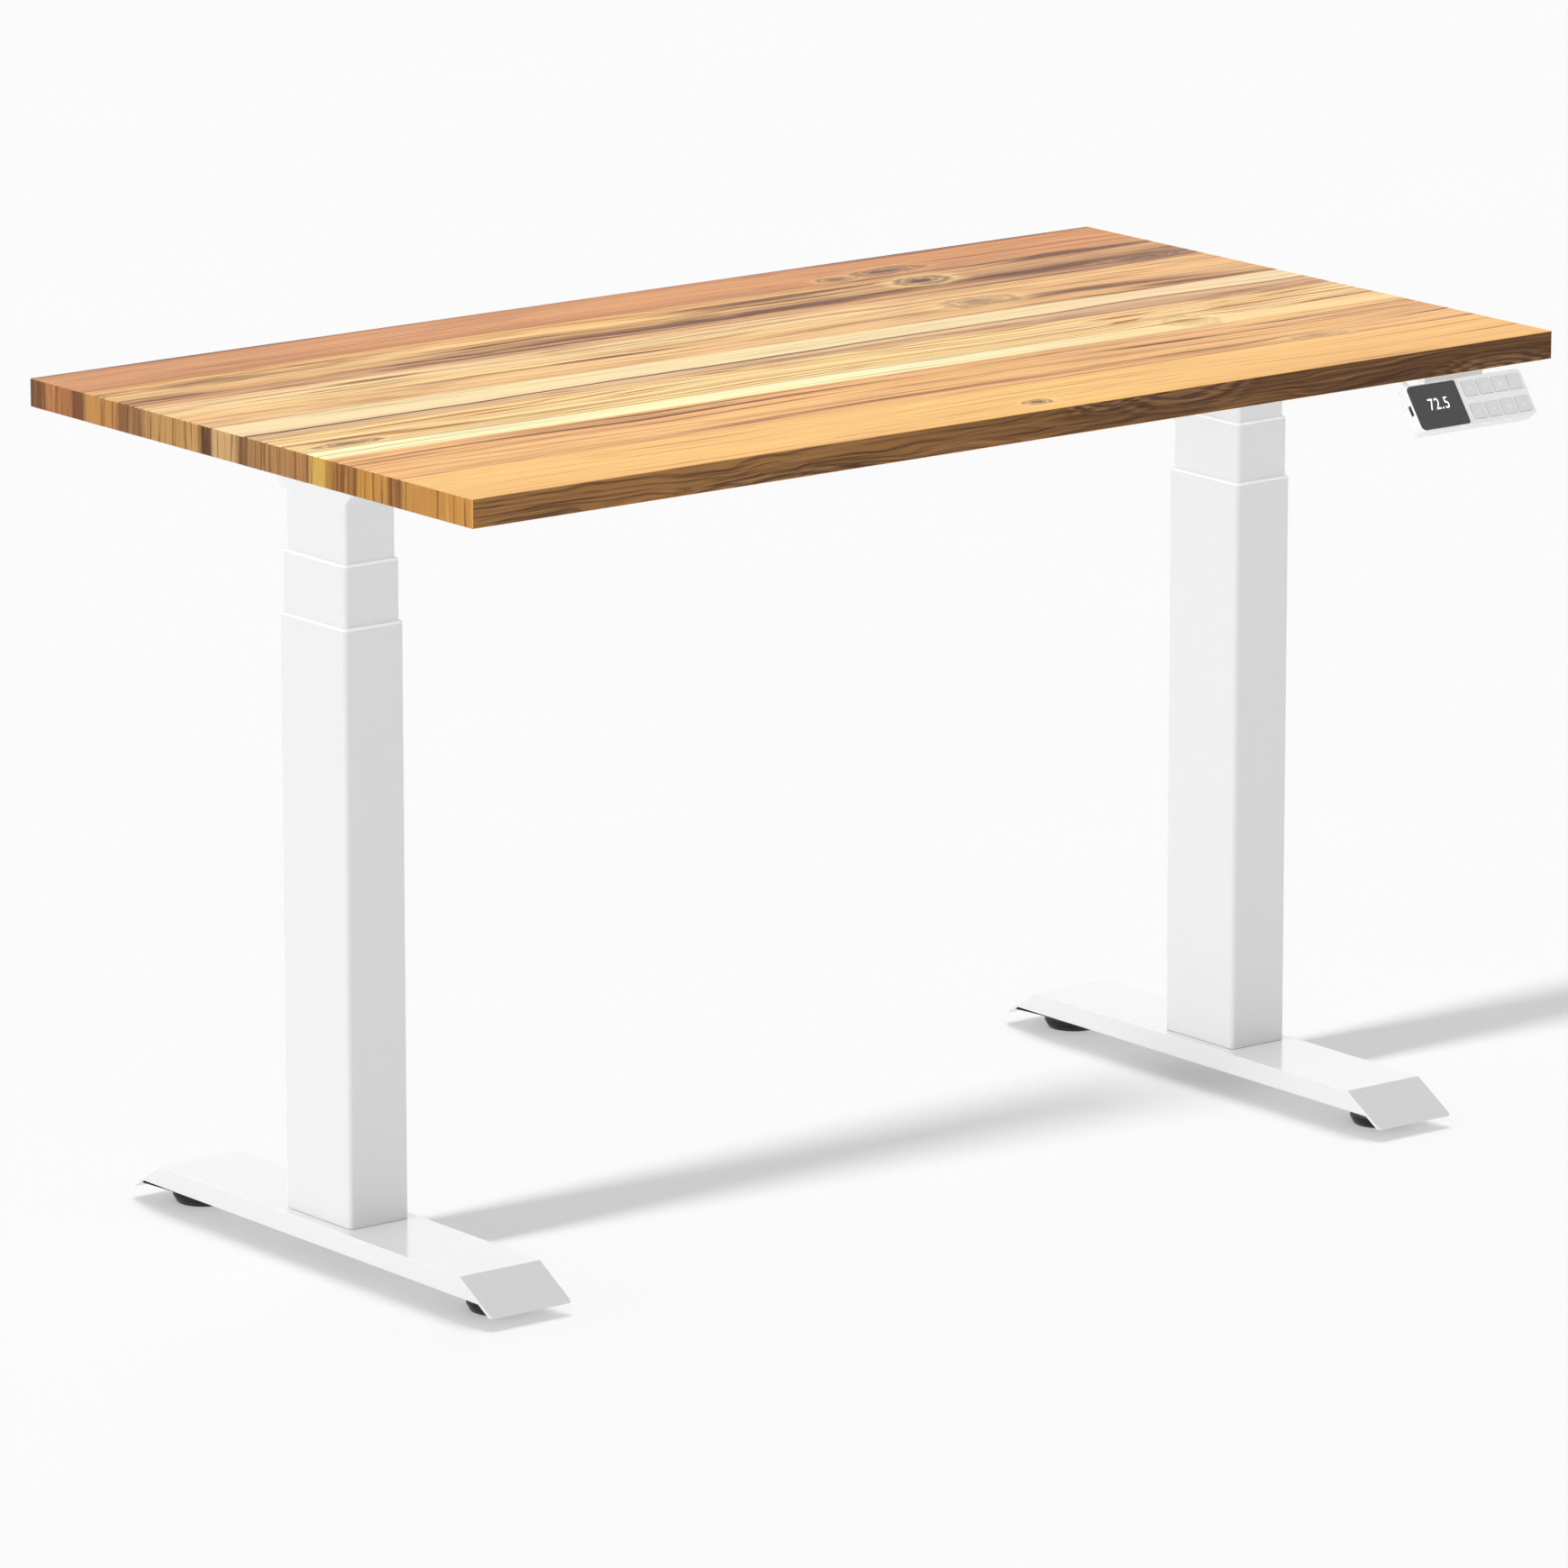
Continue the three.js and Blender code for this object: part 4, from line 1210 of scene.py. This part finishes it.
def add_leads():
    rails = [span(node) for node in ("front_rail", "rear_rail")]
    for node, route in LEAD_ROUTES.items():
        points = [Vector(point) for point in route["points"]]
        radius = route["radius"]
        sheath = PALE_SHEATH if node == "handset_lead" else SHEATH
        make_piece(f"{node}_sheath", tube_along(points, radius), [sheath], "top", [node])
        end = points[-1]
        outward = math.copysign(1, end.x)
        ends = [plug(end, outward)]
        if node != "handset_lead":
            ends.append(grommet(points[0], (-outward, 0, 0), radius))
        make_piece(f"{node}_ends", join_meshes(*ends), [BLACK_PLASTIC], "top")
        clips = []
        for i in route["clips"]:
            under_rail = [low.z for low, high in rails if low.y - 1 < points[i].y < high.y + 1]
            mount = min(under_rail) if under_rail else top_low.z
            clips.append(clip(points[i], points[i + 1] - points[i - 1], radius, mount))
        make_piece(f"{node}_clips", join_meshes(*clips), [WHITE_PLASTIC], "top")


# ---------------------------------------------------------------- control box and mains inlet

VENT = {"count": 11, "pitch": 9, "width": 3, "length": 34}
PIN = {"width": 4, "height": 2, "length": 10, "spread": 7}


def add_control_box():
    low, high = span("control_box_case")
    centre = (low + high) / 2
    vents = []
    for row in (-1, 1):
        for n in range(VENT["count"]):
            x = centre.x - 20 + (n - (VENT["count"] - 1) / 2) * VENT["pitch"]
            y = centre.y + row * (VENT["length"] / 2 + 4)
            vent = bmesh.new()
            block(vent, (x - VENT["width"] / 2, y - VENT["length"] / 2, low.z - 1),
                  (x + VENT["width"] / 2, y + VENT["length"] / 2, low.z + 4))
            vents.append(ease(vent, 1.2, 2, 30, lambda edge: abs(edge.verts[0].co.z - edge.verts[1].co.z) > 1))
    case = ease(node_mesh("control_box_case"), 1.2, 2, 40)
    make_piece("control_box_shell", carved(case, *vents), [BLACK_PLASTIC], "top",
               ["control_box_case"])
    add_eased("control_box_mounting_plate", "control_box_plate", 0.5, BLACK_PLASTIC)
    corners = [(centre.x + dx, centre.y + dy, low.z) for dx in (-124, 124) for dy in (-40, 40)]
    screws("control_box_case_screws", corners, 3.2, 1.6, "top")
    plate_low, plate_high = span("control_box_mounting_plate")
    ears = [(x, centre.y + dy, plate_low.z) for x in (plate_low.x + 7, plate_high.x - 7) for dy in (-24, 24)]
    screws("control_box_plate_screws", ears, 4.2, 2.4, "top")


def add_mains_inlet():
    """A three-pin appliance inlet: a chamfered recess with its pins inside."""
    low, high = span("mains_inlet")
    centre = (low + high) / 2
    body = bmesh.new()
    block(body, low, high)
    ease(body, 0.9, 2)
    half_x, half_z, chamfer = 10, 6.5, 3.6
    outline = [
        (-half_x, -half_z), (half_x, -half_z), (half_x, half_z - chamfer), (half_x - chamfer, half_z),
        (-half_x + chamfer, half_z), (-half_x, half_z - chamfer),
    ]
    recess = bmesh.new()
    loft(recess, [
        [Vector((centre.x + x, y, centre.z + z)) for x, z in outline] for y in (low.y + 3, high.y + 2)
    ])
    make_piece("mains_inlet_body", carved(body, recess), [BLACK_PLASTIC], "top", ["mains_inlet"])
    pins = []
    for dx, dz in ((-PIN["spread"], -1.4), (0, 2.2), (PIN["spread"], -1.4)):
        pin = bmesh.new()
        block(pin, (centre.x + dx - PIN["height"] / 2, low.y + 2.5, centre.z + dz - PIN["width"] / 2),
              (centre.x + dx + PIN["height"] / 2, low.y + 3 + PIN["length"], centre.z + dz + PIN["width"] / 2))
        pins.append(ease(pin, 0.3, 2))
    make_piece("mains_inlet_pins", join_meshes(*pins), [STEEL], "top")


# ---------------------------------------------------------------- handset

HANDSET = {"corner": 4.5, "wall": 1.8, "face": 1.6, "edge": 0.7, "gap": 0.3}
DISPLAY_CORNERS = (1.8, 4.6, 4.6, 2.2)
FIGURES = {"text": "72.5", "width": 22.4, "height": 11, "right": 1.0, "above_centre": 1.6}
MARKS = ("up", "down", "1", "2", "3", "4", "menu", "alarm")
KEY_NAMES = ("up", "down", "memory_1", "memory_2", "memory_3", "memory_4", "menu", "alarm")


def handset_place():
    """Moves the handset's own frame, whose face is z = 0 and looks along +Z, to the handset."""
    press = next(joint["axis"] for joint in frame["joints"] if joint["name"] == "up_button_press")
    turn = Matrix.Rotation(math.atan2(press[1], -press[2]), 4, "X")
    corners = [turn.inverted() @ (v.co / MM) for v in frame["nodes"]["handset_front_shell"].data.vertices]
    centre = Vector([(min(c[i] for c in corners) + max(c[i] for c in corners)) / 2 for i in range(2)] + [
        max(c.z for c in corners)])
    return turn @ Matrix.Translation(centre)


HANDSET_PLACE = handset_place()


def handset_span(node):
    """A handset node's lowest and highest corners in the handset's own frame."""
    back = HANDSET_PLACE.inverted()
    corners = [back @ (v.co / MM) for v in frame["nodes"][node].data.vertices]
    return [Vector([pick(c[i] for c in corners) for i in range(3)]) for pick in (min, max)]


def slab(low, high, corner, inset_top=0.0):
    """A rounded plate between two corners, with a softened upper edge."""
    centre, half = (low + high) / 2, (high - low) / 2
    radii = corner if isinstance(corner, tuple) else (corner,) * 4

    def ring(inset, z):
        softened = tuple(max(radius - inset, 0.2) for radius in radii)
        return moved(rounded_outline(half.x - inset, half.y - inset, softened, z), centre.x, centre.y)
    rings = [ring(0, low.z), ring(0, high.z - inset_top)]
    if inset_top:
        rings += [ring(inset_top * 0.3, high.z - inset_top * 0.3), ring(inset_top, high.z)]
    mesh = bmesh.new()
    loft(mesh, rings)
    return mesh


def figures(text, width, height, z, centre):
    """Figures of a given width and height, raised a little off the face at z."""
    curve = bpy.data.curves.new("figures", "FONT")
    curve.body = text
    curve.size = height
    curve.space_character = 1.12
    curve.extrude = 0.06
    curve.resolution_u = 5
    mesh = mesh_of_curve(curve)
    xs = [v.co.x for v in mesh.verts]
    ys = [v.co.y for v in mesh.verts]
    scale = Matrix.Diagonal((width / (max(xs) - min(xs)), height / (max(ys) - min(ys)), 1, 1))
    home = Matrix.Translation((-(max(xs) + min(xs)) / 2, -(max(ys) + min(ys)) / 2, 0))
    mesh.transform(Matrix.Translation((centre[0], centre[1], z)) @ scale @ home)
    return mesh


def bar(x0, y0, x1, y1, z, width=0.55):
    """A thin raised stroke from one point to another."""
    ahead = Vector((x1 - x0, y1 - y0, 0))
    turn = math.atan2(ahead.y, ahead.x)
    mesh = bmesh.new()
    block(mesh, (-width / 2, -width / 2, -0.06), (ahead.length + width / 2, width / 2, 0.06))
    mesh.transform(Matrix.Translation((x0, y0, z)) @ Matrix.Rotation(turn, 4, "Z"))
    return mesh


def key_mark(kind, x, y, z):
    if kind in ("up", "down"):
        rise = 1.1 if kind == "up" else -1.1
        return join_meshes(bar(x - 1.9, y - rise, x, y + rise, z), bar(x, y + rise, x + 1.9, y - rise, z))
    if kind == "menu":
        return join_meshes(*(bar(x - 1.7, y + dy, x + 1.7, y + dy, z) for dy in (-1.3, 0, 1.3)))
    if kind == "alarm":
        ring = bmesh.new()
        loft(ring, [
            [point + Vector((x, y, z)) for point in circle(radius, height, 20)]
            for radius, height in ((1.9, -0.06), (1.9, 0.06), (1.4, 0.06), (1.4, -0.06))
        ], closed=True)
        return join_meshes(ring, bar(x, y, x, y + 1.0, z, 0.4), bar(x, y, x + 0.7, y, z, 0.4))
    return figures(kind, 1.7, 3.4, z, (x, y))


def add_handset():
    place = HANDSET_PLACE
    gap = Vector((HANDSET["gap"], HANDSET["gap"], 0))
    low, high = handset_span("handset_front_shell")
    window_low, window_high = handset_span("handset_display")
    wall = Vector((HANDSET["wall"], HANDSET["wall"], 0))
    tools = [slab(low + wall - Vector((0, 0, 1)), high - wall - Vector((0, 0, HANDSET["face"])), 2.7)]
    above = Vector((0, 0, 1))
    seat = Vector((0, 0, window_low.z - HANDSET["gap"]))
    tools.append(slab(Vector((window_low.x, window_low.y, 0)) - gap + seat, window_high + gap + above,
                      DISPLAY_CORNERS))
    for name in KEY_NAMES:
        key_low, key_high = handset_span(f"handset_{name}_button")
        tools.append(slab(key_low - gap - above, key_high + gap + above, 1.7))
    socket_low, socket_high = handset_span("handset_charging_socket")
    reach = Vector((3, 0.3, 0.3))
    tools.append(slab(socket_low - reach, socket_high + Vector((-3, 0.3, 0.3)), 0.4))
    shell = carved(slab(low, high, HANDSET["corner"], HANDSET["edge"]), *tools)
    front = make_piece("handset_front_case", shell, [WHITE_PLASTIC], "top",
                       ["handset_front_shell"], place)
    soften = front.modifiers.new("Soft edges", "BEVEL")
    soften.width = 0.15 * MM
    soften.limit_method = "ANGLE"
    soften.angle_limit = math.radians(50)
    front.modifiers.move(1, 0)

    add_eased("handset_back_shell", "handset_back_case", 1.1, WHITE_PLASTIC, 3)
    glass = slab(window_low, window_high, DISPLAY_CORNERS, 0.25)
    make_piece("handset_window", glass, [GLASS], "top", ["handset_display"], place)
    centre = (window_low + window_high) / 2
    number = figures(FIGURES["text"], FIGURES["width"], FIGURES["height"], window_high.z,
                     (centre.x + FIGURES["right"], centre.y + FIGURES["above_centre"]))
    make_piece("handset_figures", number, [DIGITS], "top", place=place)
    for name, mark in zip(KEY_NAMES, MARKS):
        node = f"handset_{name}_button"
        key_low, key_high = handset_span(node)
        cap = slab(key_low, key_high, 1.4, 0.45)
        make_piece(f"handset_{name}_key", cap, [KEY_PLASTIC], body_of(node), [node], place)
        middle_x, middle_y = (key_low.x + key_high.x) / 2, (key_low.y + key_high.y) / 2
        sign = key_mark(mark, middle_x, middle_y, key_high.z)
        make_piece(f"handset_{name}_mark", sign, [GLYPHS], body_of(node), place=place)
    add_eased("handset_charging_socket", "handset_socket", 0.3, BLACK_PLASTIC)
    add_eased("handset_bracket", "handset_wedge", 0.9, WHITE_PLASTIC, 3)
    bracket_low, bracket_high = span("handset_bracket")
    toe = bracket_high.y - 8
    feet = [(x, toe, bracket_high.z - 4) for x in (bracket_low.x + 10, bracket_high.x - 10)]
    screws("handset_bracket_screws", feet, 3.6, 2.2, "top")


# ---------------------------------------------------------------- the whole desk


def add_floor():
    mesh = bmesh.new()
    bmesh.ops.create_grid(mesh, x_segments=1, y_segments=1, size=FLOOR_SIZE / 2)
    data = bpy.data.meshes.new("Floor")
    mesh.to_mesh(data)
    mesh.free()
    data.materials.append(pale_floor())
    floor = bpy.data.objects.new("Floor", data)
    scene.collection.objects.link(floor)


add_camera()
add_sky()
add_floor()
add_worktop()
for side in SIDES:
    add_leg(side)
add_under_frame()
add_leads()
add_control_box()
add_mains_inlet()
add_handset()
dress("control_box_circuit_board", BOARD)
dress("handset_circuit_board", BOARD)
for name, sun in SUNS.items():
    add_sun(name, **sun)
scene.view_settings.view_transform = "Standard"
